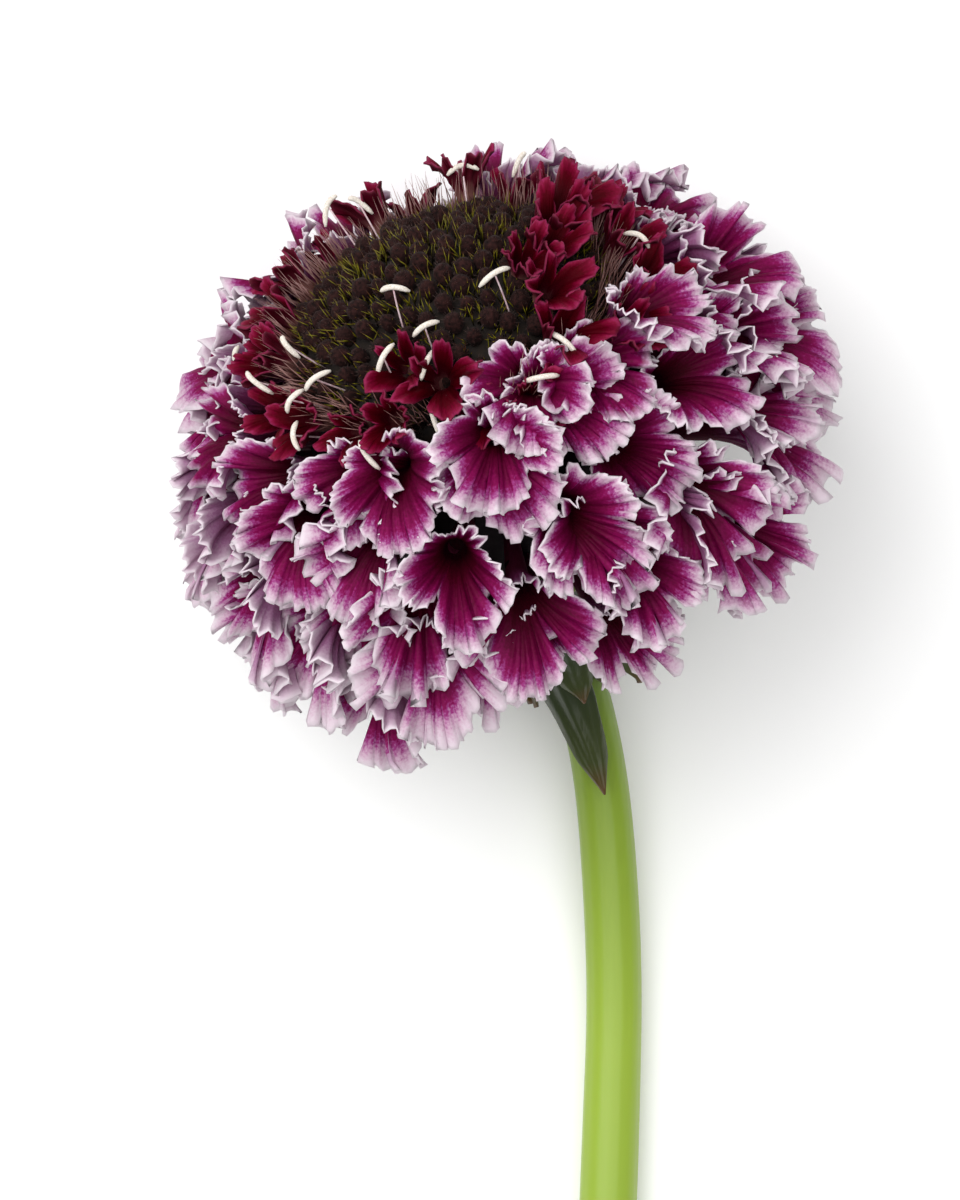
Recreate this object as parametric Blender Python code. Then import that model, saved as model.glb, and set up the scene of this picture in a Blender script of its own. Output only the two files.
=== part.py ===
"""Scabiosa, a single cut flower laid on its side on a flat surface.

The surface is z = 0, the stem runs towards -Y and the head's camera side is up.
Everything on the head is laid out in the head's own frame: side to the right,
back down and away from the viewer, axis out of the middle of the disc.
"""
import math
import random

import bmesh
import bpy
import numpy as np

MM = 0.001
GOLDEN_ANGLE = math.pi * (3 - math.sqrt(5))

# The head as a whole: a flattened ball of florets, leaning back from the stem's line.
HEAD_LEAN = math.radians(20)
HEAD_RISE = math.radians(38)
HEAD_CENTRE = np.array([1.7, 14.7, 26.4]) * MM
CORE_RADIUS = 19.2 * MM
CORE_SIDES = 28
CORE_RIM_HEIGHT = 11.5 * MM
CORE_POLARS = tuple(math.radians(degrees) for degrees in (60, 70, 80, 90, 100, 110.5))
CORE_FOOT = (8.0 * MM, -12.7 * MM)
PIT_FLOOR = 4.5 * MM

# The collars are two nested cones that part the disc, the inner florets and the rays.
COLLAR_HEIGHT = 14.0 * MM
COLLAR_SLOPE = 0.42
RAY_COLLAR = 17.4 * MM
DISC_COLLAR = 14.4 * MM
COLLAR_GAP = 0.34 * MM

# The form that both sorts of floret share.
FLARE_START = math.radians(14)
FLARE_JITTER = math.radians(8)
LIMB_ROUNDING = 0.8
LIMB_HALF_WAY = 0.6
LOBE_SHOULDER = 0.23
NOTCH_HALF_WIDTH = 17.0
NOTCH_DEPTH = 0.36
BLADE_THICKNESS = 0.62 * MM

# Ray florets: the big ruffled ones with white edges.
# A row is its angle from the head's axis in degrees, its count, its reach in mm and the
# share of a step that it is turned; the lower two leave the upper side to the stem.
RAY_ROWS = (
    (58, 12, 10.0, 0.3),
    (71, 12, 11.6, 0.0),
    (85, 12, 12.4, 0.5),
    (98, 11, 12.2, 0.75),
)
RAY_LOW_SIDE = math.radians(218)
RAY_DROOP = math.radians(4.5)
RAY_INNER_LOBES = 0.36
RAY_THROAT_RADIUS = 22.6 * MM
RAY_TUBE_RADIUS = 1.05 * MM
RAY_FOOT_RADIUS = 17.2 * MM
RAY_FOOT_TOP = 7.5 * MM
RAY_CLEARANCE = 0.85 * MM
RAY_RUFFLE = 0.13
RAY_NOTCHES = (-33.0, 33.0, 103.0, 180.0, 257.0)
RAY_FLARE = math.radians(57)
RAY_FLARE_SWING = math.radians(27)
RAY_TAPER = 0.8
RAY_SIZES = (0.93, 1.08)
RAY_POLAR_JITTER = math.radians(3)
RAY_STEP_JITTER = 0.14
RAY_ROLL_JITTER = math.radians(14)
RAY_THROAT_JITTER = 0.9 * MM

# Inner florets: small dark ones that ring the disc.
INNER_COUNT = 20
INNER_POLAR = math.radians(46.5)
INNER_REACH = 4.9 * MM
INNER_THROAT_RADIUS = 23.4 * MM
INNER_TUBE_RADIUS = 0.75 * MM
INNER_FOOT_HEIGHT = 12.6 * MM
INNER_CORE_TOP = 14.9 * MM
INNER_NOTCHES = (-36.0, 36.0, 108.0, 180.0, 252.0)
INNER_NOTCH_DEPTH = 0.52
INNER_FLARE = math.radians(50)
INNER_FLARE_SWING = math.radians(20)
INNER_EVENNESS = 0.85
INNER_TAPER = 0.9
INNER_SIZES = (0.9, 1.12)
INNER_STEP_JITTER = 0.22
INNER_ROLL_JITTER = math.radians(30)
INNER_POLAR_JITTER = math.radians(2.2)
INNER_THROAT_JITTER = 0.6 * MM
INNER_MARGIN_GAP = 0.37 * MM
INNER_DISC_GAP = 0.7 * MM

# Stamens that stand out among the inner florets.
STAMEN_COUNT = 13
STAMEN_STEP = 1.54
STAMEN_STEP_JITTER = 0.3
STAMEN_SLANTS = (math.radians(8), math.radians(20))
STAMEN_SIZES = (0.85, 1.1)
STAMEN_LENGTH = 9.0 * MM
STAMEN_RADIUS = 0.32 * MM
ANTHER_LENGTH = 3.3 * MM
ANTHER_RADIUS = 0.45 * MM
ANTHER_END = 0.6

# Disc: a low dome covered with pointed buds.
DISC_RADIUS = 21.8 * MM
DISC_CORE_POLARS = (8, 16, 24, 32, 38, 42.5)
DISC_CLEAR_RADIUS = 25.0 * MM
DISC_EDGE_DROP = 0.6 * MM
BUD_COUNT = 74
BUD_LAST_POLAR = math.radians(36.5)
BUD_SIDES = 4
BUD_RADIUS = 1.25 * MM
BUD_HEIGHT = 2.3 * MM
BUD_LEVELS = (-0.5, 0.45, 0.95)
BUD_WIDTHS = (0.8, 1.0, 0.3)
BUD_FIRST_SHARE = 0.4
BUD_RADIUS_RANGE = (0.9, 1.08)
BUD_HEIGHT_RANGE = (0.85, 1.12)

# Involucre: the green cup under the head, with its bracts turned back along the stem.
CUP_SIDES = 18
CUP_PROFILE = (
    (0.0, -13.0 * MM),
    (7.4 * MM, -13.0 * MM),
    (7.4 * MM, -14.0 * MM),
    (5.4 * MM, -16.2 * MM),
    (3.4 * MM, -17.2 * MM),
    (0.0, -17.2 * MM),
)
BRACT_CLEAR_RADIUS = 11.6 * MM
BRACT_CLEAR_TOP = -10.0 * MM
BRACT_CLEAR_BLEND = 3.0 * MM
BRACT_COUNT = 9
BRACT_TOP = -13.8 * MM
BRACT_LENGTH = 26.5 * MM
BRACT_SPAN = 28.0 * MM
BRACT_WIDTH = 6.2 * MM
BRACT_THICKNESS = 0.8 * MM
BRACT_FOLD = 0.28
BRACT_RADIUS = 4.2 * MM
BRACT_ROW_GAP = 1.3 * MM
BRACT_FIRST_AZIMUTH = math.radians(226)
BRACT_DRIFT = math.radians(38)
BRACT_SHARES = (0.0, 0.12, 0.35, 0.6, 0.85, 1.0)
BRACT_WIDTHS = (0.55, 0.8, 1.0, 0.85, 0.5, 0.1)
BRACT_SPREADS = (1.5, 1.4, 1.0, 0.5, 0.3, 0.5)
BRACT_OTHER_SIZES = (0.55, 0.7)
BRACT_OTHER_DRIFT = math.radians(6)
BRACT_PATH_STEPS = 40

# Stem: guide places of its centre line below the cup, in millimetres in world space.
STEM_TOP = -17.5 * MM
STEM_BEND_LENGTH = 6.0 * MM
STEM_ROUTE = (
    (9.0, -5.7, 10.4),
    (11.0, -12.9, 7.5),
    (12.2, -20.0, 5.4),
    (13.0, -30.0, 3.8),
    (13.3, -40.0, 3.1),
    (13.0, -52.0, 2.9),
    (12.5, -65.0, 2.9),
    (11.9, -77.0, 2.9),
)
STEM_TOP_RADIUS = 2.6 * MM
STEM_END_RADIUS = 2.9 * MM
STEM_SIDES = 14
STEM_RINGS = 18
STEM_CURVE_STEPS = 12
CUT_SLANT = math.radians(38)


def head_axes():
    """The head's side, back and axis directions, as the rows of a matrix."""
    lean_s, lean_c = math.sin(HEAD_LEAN), math.cos(HEAD_LEAN)
    rise_s, rise_c = math.sin(HEAD_RISE), math.cos(HEAD_RISE)
    side = (lean_c, lean_s, 0.0)
    back = (-lean_s * rise_s, lean_c * rise_s, -rise_c)
    axis = (-lean_s * rise_c, lean_c * rise_c, rise_s)
    return np.array([side, back, axis])


HEAD_AXES = head_axes()


def to_world(points):
    """Points of the head's frame in world space."""
    return HEAD_CENTRE + np.asarray(points) @ HEAD_AXES


def unit(vector):
    """The vector at length one."""
    return vector / np.linalg.norm(vector)


def jitter(rng, amount):
    """A random value within an amount either way of nothing."""
    return rng.uniform(-amount, amount)


def collar_radius(height, base):
    """The radius of a collar's cone at a height along the head's axis."""
    return base + COLLAR_SLOPE * (height - COLLAR_HEIGHT)


def floret_frame(polar, azimuth, roll):
    """A floret's outward, lower and sideways directions in the head's frame."""
    sin_p, cos_p = math.sin(polar), math.cos(polar)
    spoke = np.array([math.cos(azimuth), math.sin(azimuth), 0.0])
    axis = np.array([0.0, 0.0, 1.0])
    outward = sin_p * spoke + cos_p * axis
    lower = cos_p * spoke - sin_p * axis
    sideways = np.cross(axis, spoke)
    turned = math.cos(roll) * lower + math.sin(roll) * sideways
    return outward, turned, np.cross(outward, turned)


def limb_reach(angle, notches, reach, evenness):
    """How far the limb of a corolla reaches at an angle round its throat."""
    outer = 0.5 + 0.5 * math.cos(angle)
    envelope = evenness + (1 - evenness) * outer**LIMB_ROUNDING
    gap = min(abs((math.degrees(angle) - n + 180) % 360 - 180) for n in notches)
    notch = NOTCH_DEPTH * max(0.0, 1 - gap / NOTCH_HALF_WIDTH)
    return reach * envelope * (1 - notch)


def limb_point(frame, throat, radius, angle, share, reach, flare):
    """A point of the limb, on an arc that leaves the throat and bends outwards."""
    outward, lower, sideways = frame
    ray = math.cos(angle) * lower + math.sin(angle) * sideways
    bend = flare - FLARE_START
    now = FLARE_START + bend * share
    along = (math.sin(now) - math.sin(FLARE_START)) / bend
    across = (math.cos(FLARE_START) - math.cos(now)) / bend
    return throat + ray * (radius + reach * across) + outward * reach * along


def limb_rows(frame, throat, radius, notches, reach_of, flare_of, ruffle):
    """Three rings of the limb's middle surface: throat and half way with a point for
    each lobe, and the margin with a notch and two shoulders for each lobe."""
    starts = np.radians(notches)
    ends = np.append(starts[1:], starts[0] + 2 * math.pi)
    tips = (starts + ends) / 2

    def point(angle, share):
        reach, flare = reach_of(angle), flare_of(angle)
        return limb_point(frame, throat, radius, angle, share, reach, flare)

    def waved(angle, wave):
        inner, outer = point(angle, 0.9), point(angle, 1.0)
        ray = math.cos(angle) * frame[1] + math.sin(angle) * frame[2]
        lift = unit(np.cross(unit(outer - inner), np.cross(frame[0], ray)))
        return outer + lift * wave * reach_of(angle)

    margin = []
    for start, end in zip(starts, ends):
        margin.append(waved(start, 0.0))
        margin.append(waved(start + LOBE_SHOULDER * (end - start), ruffle))
        margin.append(waved(end - LOBE_SHOULDER * (end - start), -ruffle))
    rows = [[point(a, 0.0) for a in tips], [point(a, LIMB_HALF_WAY) for a in tips], margin]
    return [np.array(row) for row in rows]


def limb_faces(lobes):
    """Triangles of a ray limb's sheet: rings of one, one and three points for a lobe."""
    faces = []
    half_way, margin = lobes, 2 * lobes
    for i in range(lobes):
        j = (i + 1) % lobes
        faces += [(i, half_way + i, j), (j, half_way + i, half_way + j)]
        left, right = margin + 3 * i + 1, margin + 3 * i + 2
        notch, ahead = margin + 3 * j, margin + 3 * j + 1
        here, there = half_way + i, half_way + j
        faces += [(here, left, right), (here, right, notch)]
        faces += [(here, notch, there), (there, notch, ahead)]
    return faces


def star_faces(lobes):
    """Triangles of a small limb's sheet: a throat point, a notch and a tip for a lobe."""
    faces = []
    for i in range(lobes):
        j = (i + 1) % lobes
        notch, tip, ahead = lobes + 2 * i, lobes + 2 * i + 1, lobes + 2 * j
        faces += [(i, notch, tip), (i, tip, ahead), (i, ahead, j)]
    return faces


def vertex_normals(points, faces):
    """Area-weighted normals of a triangle mesh."""
    normals = np.zeros_like(points)
    for a, b, c in faces:
        normal = np.cross(points[b] - points[a], points[c] - points[a])
        for corner in (a, b, c):
            normals[corner] += normal
    return normals / np.linalg.norm(normals, axis=1)[:, None]


def corolla_solid(rows, tube_ring, bend_clear, floor=0.0):
    """One floret as a closed solid in world space: limb, margin and tube."""
    lobes, size = len(rows[0]), len(rows[-1])
    sheet = limb_faces(lobes) if len(rows) == 3 else star_faces(lobes)
    middle = to_world(bend_clear(np.concatenate(rows)))
    normals = vertex_normals(middle, sheet)
    half = BLADE_THICKNESS / 2
    upper, under = middle + normals * half, middle - normals * half
    lowest = np.minimum(upper[:, 2], under[:, 2])
    lift = np.maximum(0.0, floor - lowest)
    upper[:, 2] += lift
    under[:, 2] += lift
    count = len(middle)
    points = np.concatenate([upper, under, to_world(tube_ring)])
    faces = list(sheet)
    faces += [(c + count, b + count, a + count) for a, b, c in sheet]
    edge = count - size
    for i in range(size):
        a, b = edge + i, edge + (i + 1) % size
        faces += [(b, a, a + count), (b, a + count, b + count)]
    foot = 2 * count
    for i in range(lobes):
        j = (i + 1) % lobes
        faces += [(count + i, foot + i, foot + j), (count + i, foot + j, count + j)]
    for i in range(1, lobes - 1):
        faces.append((0, i, i + 1))
        faces.append((foot, foot + i + 1, foot + i))
    return points, faces


def make_object(name, points, faces, material=None):
    """A mesh object from points in world space."""
    mesh = bpy.data.meshes.new(name)
    mesh.from_pydata([tuple(p) for p in points], [], faces)
    mesh.validate()
    obj = bpy.data.objects.new(name, mesh)
    bpy.context.scene.collection.objects.link(obj)
    if material:
        mesh.materials.append(material)
    return obj


def principled(name, colour, roughness, metallic=0.0):
    """A Principled material of one colour."""
    material = bpy.data.materials.new(name)
    material.use_nodes = True
    shader = material.node_tree.nodes["Principled BSDF"]
    shader.inputs["Base Color"].default_value = (*colour, 1.0)
    shader.inputs["Roughness"].default_value = roughness
    shader.inputs["Metallic"].default_value = metallic
    return material


def turned_solid(profile, sides):
    """A solid turned round the head's axis: profile is (radius, height) from the top
    down to the bottom, and its ends lie on the axis."""
    points = [(0.0, 0.0, profile[0][1])]
    for radius, height in profile[1:-1]:
        for i in range(sides):
            angle = 2 * math.pi * i / sides
            points.append((radius * math.cos(angle), radius * math.sin(angle), height))
    points.append((0.0, 0.0, profile[-1][1]))
    rings = len(profile) - 2
    faces = []
    for i in range(sides):
        j = (i + 1) % sides
        faces.append((0, 1 + i, 1 + j))
        last = 1 + (rings - 1) * sides
        faces.append((len(points) - 1, last + j, last + i))
        for ring in range(rings - 1):
            a, b = 1 + ring * sides, 1 + (ring + 1) * sides
            faces.append((a + i, b + i, b + j, a + j))
    return to_world(points), faces


def turned_ring(profile, sides):
    """A ring turned round the head's axis: profile is a closed loop of
    (radius, height), seen anticlockwise with the radius to the right."""
    points = []
    for i in range(sides):
        angle = 2 * math.pi * i / sides
        for radius, height in profile:
            points.append((radius * math.cos(angle), radius * math.sin(angle), height))
    count = len(profile)
    faces = []
    for i in range(sides):
        j = (i + 1) % sides
        for k in range(count):
            m = (k + 1) % count
            faces.append((i * count + k, j * count + k, j * count + m, i * count + m))
    return to_world(points), faces


def fuse(core, repeats, solver="MANIFOLD"):
    """Joins the repeats to their core by one Boolean union, and removes them."""
    group = bpy.data.collections.new("repeats")
    bpy.context.scene.collection.children.link(group)
    for obj in repeats:
        bpy.context.scene.collection.objects.unlink(obj)
        group.objects.link(obj)
    union = core.modifiers.new("fuse", "BOOLEAN")
    union.operand_type = "COLLECTION"
    union.collection = group
    union.operation = "UNION"
    union.solver = solver
    bpy.context.view_layer.update()
    graph = bpy.context.evaluated_depsgraph_get()
    joined = bpy.data.meshes.new_from_object(core.evaluated_get(graph))
    core.modifiers.clear()
    core.data = joined
    for obj in repeats:
        bpy.data.objects.remove(obj)
    bpy.data.collections.remove(group)
    keep_outer_shell(core)


def shells(work):
    """The separate shells of a bmesh, as lists of faces."""
    found = []
    left = set(work.faces)
    while left:
        shell = [left.pop()]
        for face in shell:
            for edge in face.edges:
                for other in edge.link_faces:
                    if other in left:
                        left.remove(other)
                        shell.append(other)
        found.append(shell)
    return found


def shell_volume(shell):
    """The signed volume of a closed shell of triangles."""
    total = 0.0
    for face in shell:
        a, b, c = (vertex.co for vertex in face.verts)
        total += a.dot(b.cross(c)) / 6
    return total


def keep_outer_shell(obj):
    """Fills the hollows that a union sealed, and drops its loose scraps."""
    work = bmesh.new()
    work.from_mesh(obj.data)
    bmesh.ops.triangulate(work, faces=work.faces)
    found = sorted(shells(work), key=shell_volume)
    for shell in found[:-1]:
        bmesh.ops.delete(work, geom=shell, context="FACES")
    work.to_mesh(obj.data)
    work.free()


def sphere_point(radius, polar):
    """(radius from the axis, height) of a point on a sphere round the head's centre."""
    return radius * math.sin(polar), radius * math.cos(polar)


def keep_off_inner(points):
    """Bends ray petals clear of the inner florets, the cup and the bracts."""
    radial = np.hypot(points[:, 0], points[:, 1])
    clear = collar_radius(points[:, 2], RAY_COLLAR) + RAY_CLEARANCE
    low = np.clip((BRACT_CLEAR_TOP - points[:, 2]) / BRACT_CLEAR_BLEND, 0, 1)
    clear = np.maximum(clear, low * BRACT_CLEAR_RADIUS)
    scale = np.maximum(1.0, clear / radial)
    bent = points.copy()
    bent[:, 0] *= scale
    bent[:, 1] *= scale
    return bent


def keep_off_rays(points):
    """Bends inner florets clear of the ray petals and of the buds below them."""
    radial = np.hypot(points[:, 0], points[:, 1])
    widest = collar_radius(points[:, 2], RAY_COLLAR) - COLLAR_GAP / 2 - INNER_MARGIN_GAP
    scale = np.minimum(1.0, widest / radial)
    bent = points.copy()
    bent[:, 0] *= scale
    bent[:, 1] *= scale
    distance = np.linalg.norm(bent, axis=1)
    widest = collar_radius(bent[:, 2], DISC_COLLAR) + INNER_DISC_GAP
    inside = np.hypot(bent[:, 0], bent[:, 1]) < widest
    lift = np.where(inside & (distance < DISC_CLEAR_RADIUS), DISC_CLEAR_RADIUS / distance, 1.0)
    return bent * lift[:, None]


def place_floret(polar, azimuth, roll, throat_radius):
    """A floret's frame with the place of its throat, on a sphere round the head."""
    frame = floret_frame(polar, azimuth, roll)
    return frame, frame[0] * throat_radius


def ray_foot(polar, azimuth):
    """The place inside the core where a ray floret is rooted, clear of the pit."""
    radius, height = sphere_point(RAY_FOOT_RADIUS, polar)
    height = min(height, RAY_FOOT_TOP)
    radius = max(radius, collar_radius(height, RAY_COLLAR) + 1.3 * RAY_TUBE_RADIUS)
    return np.array([radius * math.cos(azimuth), radius * math.sin(azimuth), height])


def ray_floret(row, place, rng):
    """One ray floret as a closed solid, at its place in a row round the head."""
    degrees, count, reach, phase = RAY_ROWS[row]
    polar = math.radians(degrees) + jitter(rng, RAY_POLAR_JITTER)
    azimuth = 2 * math.pi * (place + phase + jitter(rng, RAY_STEP_JITTER)) / count
    polar += RAY_DROOP * row / (len(RAY_ROWS) - 1) * math.cos(azimuth - RAY_LOW_SIDE)
    roll = jitter(rng, RAY_ROLL_JITTER)
    size = reach * MM * rng.uniform(*RAY_SIZES)
    open_out = jitter(rng, FLARE_JITTER)
    throat_radius = RAY_THROAT_RADIUS + jitter(rng, RAY_THROAT_JITTER)
    frame, throat = place_floret(polar, azimuth, roll, throat_radius)

    def reach_of(angle):
        return limb_reach(angle, RAY_NOTCHES, size, RAY_INNER_LOBES)

    def flare_of(angle):
        return RAY_FLARE + RAY_FLARE_SWING * math.cos(angle) + open_out

    ruffle = RAY_RUFFLE * (1 if place % 2 else -1)
    rows = limb_rows(frame, throat, RAY_TUBE_RADIUS, RAY_NOTCHES, reach_of, flare_of, ruffle)
    tube = ray_foot(polar, azimuth) + (rows[0] - throat) * RAY_TAPER
    return corolla_solid(rows, tube, keep_off_inner)


def ray_florets(material):
    """All ray florets on their bowl-shaped core."""
    gap = COLLAR_GAP / 2
    profile = [
        (0.0, PIT_FLOOR),
        (collar_radius(PIT_FLOOR, RAY_COLLAR) + gap, PIT_FLOOR),
        (collar_radius(CORE_RIM_HEIGHT, RAY_COLLAR) + gap, CORE_RIM_HEIGHT),
    ]
    profile += [sphere_point(CORE_RADIUS, polar) for polar in CORE_POLARS]
    profile += [CORE_FOOT, (0.0, CORE_FOOT[1])]
    core = make_object("ray_florets", *turned_solid(profile, CORE_SIDES), material)
    rng = random.Random(11)
    repeats = []
    for row, (_, count, _, _) in enumerate(RAY_ROWS):
        for place in range(count):
            repeats.append(make_object(f"ray_{row}_{place}", *ray_floret(row, place, rng)))
    fuse(core, repeats)
    return core


def inner_foot(azimuth):
    """The place in the middle of the inner ring's wall where a floret is rooted."""
    radius = collar_radius(INNER_FOOT_HEIGHT, (RAY_COLLAR + DISC_COLLAR) / 2)
    return np.array([radius * math.cos(azimuth), radius * math.sin(azimuth), INNER_FOOT_HEIGHT])


def inner_floret(index, rng):
    """One small maroon floret as a closed solid, a star of narrow lobes."""
    azimuth = 2 * math.pi * (index + jitter(rng, INNER_STEP_JITTER)) / INNER_COUNT
    polar = INNER_POLAR + jitter(rng, INNER_POLAR_JITTER)
    size = INNER_REACH * rng.uniform(*INNER_SIZES)
    open_out = jitter(rng, FLARE_JITTER)
    roll = jitter(rng, INNER_ROLL_JITTER)
    throat_radius = INNER_THROAT_RADIUS + jitter(rng, INNER_THROAT_JITTER)
    frame, throat = place_floret(polar, azimuth, roll, throat_radius)
    starts = np.radians(INNER_NOTCHES)
    ends = np.append(starts[1:], starts[0] + 2 * math.pi)
    tips = (starts + ends) / 2
    margin = []
    for start, tip in zip(starts, tips):
        for angle, share in ((start, INNER_NOTCH_DEPTH), (tip, 1.0)):
            flare = INNER_FLARE + INNER_FLARE_SWING * math.cos(angle) + open_out
            reach = size * share * (INNER_EVENNESS + (1 - INNER_EVENNESS) * math.cos(angle))
            margin.append(limb_point(frame, throat, INNER_TUBE_RADIUS, angle, 1.0, reach, flare))
    ring = [limb_point(frame, throat, INNER_TUBE_RADIUS, a, 0.0, size, 1.0) for a in tips]
    rows = [np.array(ring), np.array(margin)]
    tube = inner_foot(azimuth) + (rows[0] - throat) * INNER_TAPER
    return corolla_solid(rows, tube, keep_off_rays)


def stamen(index, rng):
    """One stamen as two closed solids, the filament and the anther across its end."""
    azimuth = 2 * math.pi * (index * STAMEN_STEP + 0.5 + jitter(rng, STAMEN_STEP_JITTER)) / INNER_COUNT
    frame = floret_frame(rng.uniform(*STAMEN_SLANTS), azimuth, 0.0)
    foot = inner_foot(azimuth)
    end = foot + frame[0] * STAMEN_LENGTH * rng.uniform(*STAMEN_SIZES)
    turn = rng.uniform(0, 2 * math.pi)
    along = unit(math.cos(turn) * frame[1] + math.sin(turn) * frame[2] + 0.3 * frame[0])
    half = along * ANTHER_LENGTH / 2
    filament = spindle([foot, end + frame[0] * ANTHER_RADIUS / 2], [STAMEN_RADIUS] * 2, 3)
    narrow = ANTHER_RADIUS * ANTHER_END
    anther = spindle([end - half, end - half * 0.8, end + half * 0.8, end + half],
                     [narrow, ANTHER_RADIUS, ANTHER_RADIUS, narrow], 4)
    return filament, anther


def spindle(path, radii, sides):
    """A closed solid with a ring of points at each place of a path, in world space."""
    path = to_world(path)
    points = []
    count = len(path)
    for place, radius in zip(range(count), radii):
        before, after = path[max(place - 1, 0)], path[min(place + 1, count - 1)]
        points.extend(ring_points(path[place], unit(after - before), radius, sides))
    return np.array(points), tube_faces(count, sides)


def ring_points(centre, direction, radius, sides):
    """Points of a ring that faces along a direction, anticlockwise seen from ahead."""
    across = unit(np.cross(direction, (0.31, 0.17, 0.93)))
    up = np.cross(direction, across)
    angles = [2 * math.pi * i / sides for i in range(sides)]
    return [centre + radius * (math.cos(a) * across + math.sin(a) * up) for a in angles]


def tube_faces(rings, sides):
    """Faces of a closed tube of rings, with a cap at each end."""
    faces = []
    for ring in range(rings - 1):
        a, b = ring * sides, (ring + 1) * sides
        for i in range(sides):
            j = (i + 1) % sides
            faces.append((a + i, a + j, b + j, b + i))
    faces.append(tuple(reversed(range(sides))))
    faces.append(tuple((rings - 1) * sides + i for i in range(sides)))
    return faces


def inner_florets(material):
    """The maroon florets and their stamens on a ring-shaped core."""
    gap = COLLAR_GAP / 2
    low = PIT_FLOOR + COLLAR_GAP
    profile = []
    for height, base, side in ((low, DISC_COLLAR, gap), (low, RAY_COLLAR, -gap),
                               (INNER_CORE_TOP - 2.2 * MM, RAY_COLLAR, -gap),
                               (INNER_CORE_TOP, DISC_COLLAR, gap)):
        profile.append((collar_radius(height, base) + side, height))
    core = make_object("inner_florets", *turned_ring(profile, CORE_SIDES), material)
    rng = random.Random(5)
    repeats = []
    for index in range(INNER_COUNT):
        repeats.append(make_object(f"inner_{index}", *inner_floret(index, rng)))
    for index in range(STAMEN_COUNT):
        for piece in stamen(index, rng):
            repeats.append(make_object(f"stamen_{index}", *piece))
    fuse(core, repeats)
    return core


def disc_bud(index, rng):
    """One pointed bud, half sunk into the disc, as a closed solid."""
    share = (index + BUD_FIRST_SHARE) / BUD_COUNT
    polar = math.acos(1 - (1 - math.cos(BUD_LAST_POLAR)) * share)
    frame = floret_frame(polar, index * GOLDEN_ANGLE, rng.uniform(0, math.pi))
    radius = BUD_RADIUS * rng.uniform(*BUD_RADIUS_RANGE)
    height = BUD_HEIGHT * rng.uniform(*BUD_HEIGHT_RANGE)
    places = [frame[0] * (DISC_RADIUS + height * level) for level in BUD_LEVELS]
    return spindle(places, [radius * width for width in BUD_WIDTHS], BUD_SIDES)


def disc_buds(material):
    """The disc: a dome-topped plug that carries the buds."""
    gap = COLLAR_GAP / 2
    low = PIT_FLOOR + COLLAR_GAP
    profile = [(0.0, DISC_RADIUS)]
    for degrees in DISC_CORE_POLARS:
        profile.append(sphere_point(DISC_RADIUS, math.radians(degrees)))
    edge = profile[-1][1] - DISC_EDGE_DROP
    profile.append((collar_radius(edge, DISC_COLLAR) - gap, edge))
    profile.append((collar_radius(low, DISC_COLLAR) - gap, low))
    profile.append((0.0, low))
    core = make_object("disc_buds", *turned_solid(profile, CORE_SIDES), material)
    rng = random.Random(8)
    buds = [make_object(f"bud_{index}", *disc_bud(index, rng)) for index in range(BUD_COUNT)]
    fuse(core, buds)
    return core


def stem_path(count):
    """Places evenly spaced along the stem's centre line, from under the cup to the cut."""
    start = to_world([0.0, 0.0, STEM_TOP])
    guides = [start + HEAD_AXES[2] * STEM_BEND_LENGTH, start]
    guides += [np.array(place) * MM for place in STEM_ROUTE]
    guides.append(2 * guides[-1] - guides[-2])
    fine = []
    for a, b, c, d in zip(guides, guides[1:], guides[2:], guides[3:]):
        for step in range(STEM_CURVE_STEPS):
            t = step / STEM_CURVE_STEPS
            fine.append(0.5 * (2 * b + (c - a) * t + (2 * a - 5 * b + 4 * c - d) * t**2
                               + (3 * b - a - 3 * c + d) * t**3))
    fine.append(guides[-2])
    fine = np.array(fine)
    lengths = np.append(0.0, np.cumsum(np.linalg.norm(np.diff(fine, axis=0), axis=1)))
    wanted = np.linspace(0.0, lengths[-1], count)
    return np.stack([np.interp(wanted, lengths, fine[:, i]) for i in range(3)], axis=1)


def stem(material):
    """The stem, lying on the surface at its cut end, with a slanted cut."""
    path = stem_path(STEM_RINGS)
    points = []
    for index, centre in enumerate(path):
        share = index / (STEM_RINGS - 1)
        radius = STEM_TOP_RADIUS + (STEM_END_RADIUS - STEM_TOP_RADIUS) * share
        direction = unit(path[min(index + 1, STEM_RINGS - 1)] - path[max(index - 1, 0)])
        ring = ring_points(centre, direction, radius, STEM_SIDES)
        if index == STEM_RINGS - 1:
            up = np.array([0.0, 0.0, 1.0])
            ring = [p - direction * np.dot(p - centre, up) * math.tan(CUT_SLANT) for p in ring]
        points.extend(ring)
    points = np.array(points)
    points[:, 2] = np.maximum(points[:, 2], 0.0)
    return make_object("stem", points, tube_faces(STEM_RINGS, STEM_SIDES), material)


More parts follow.
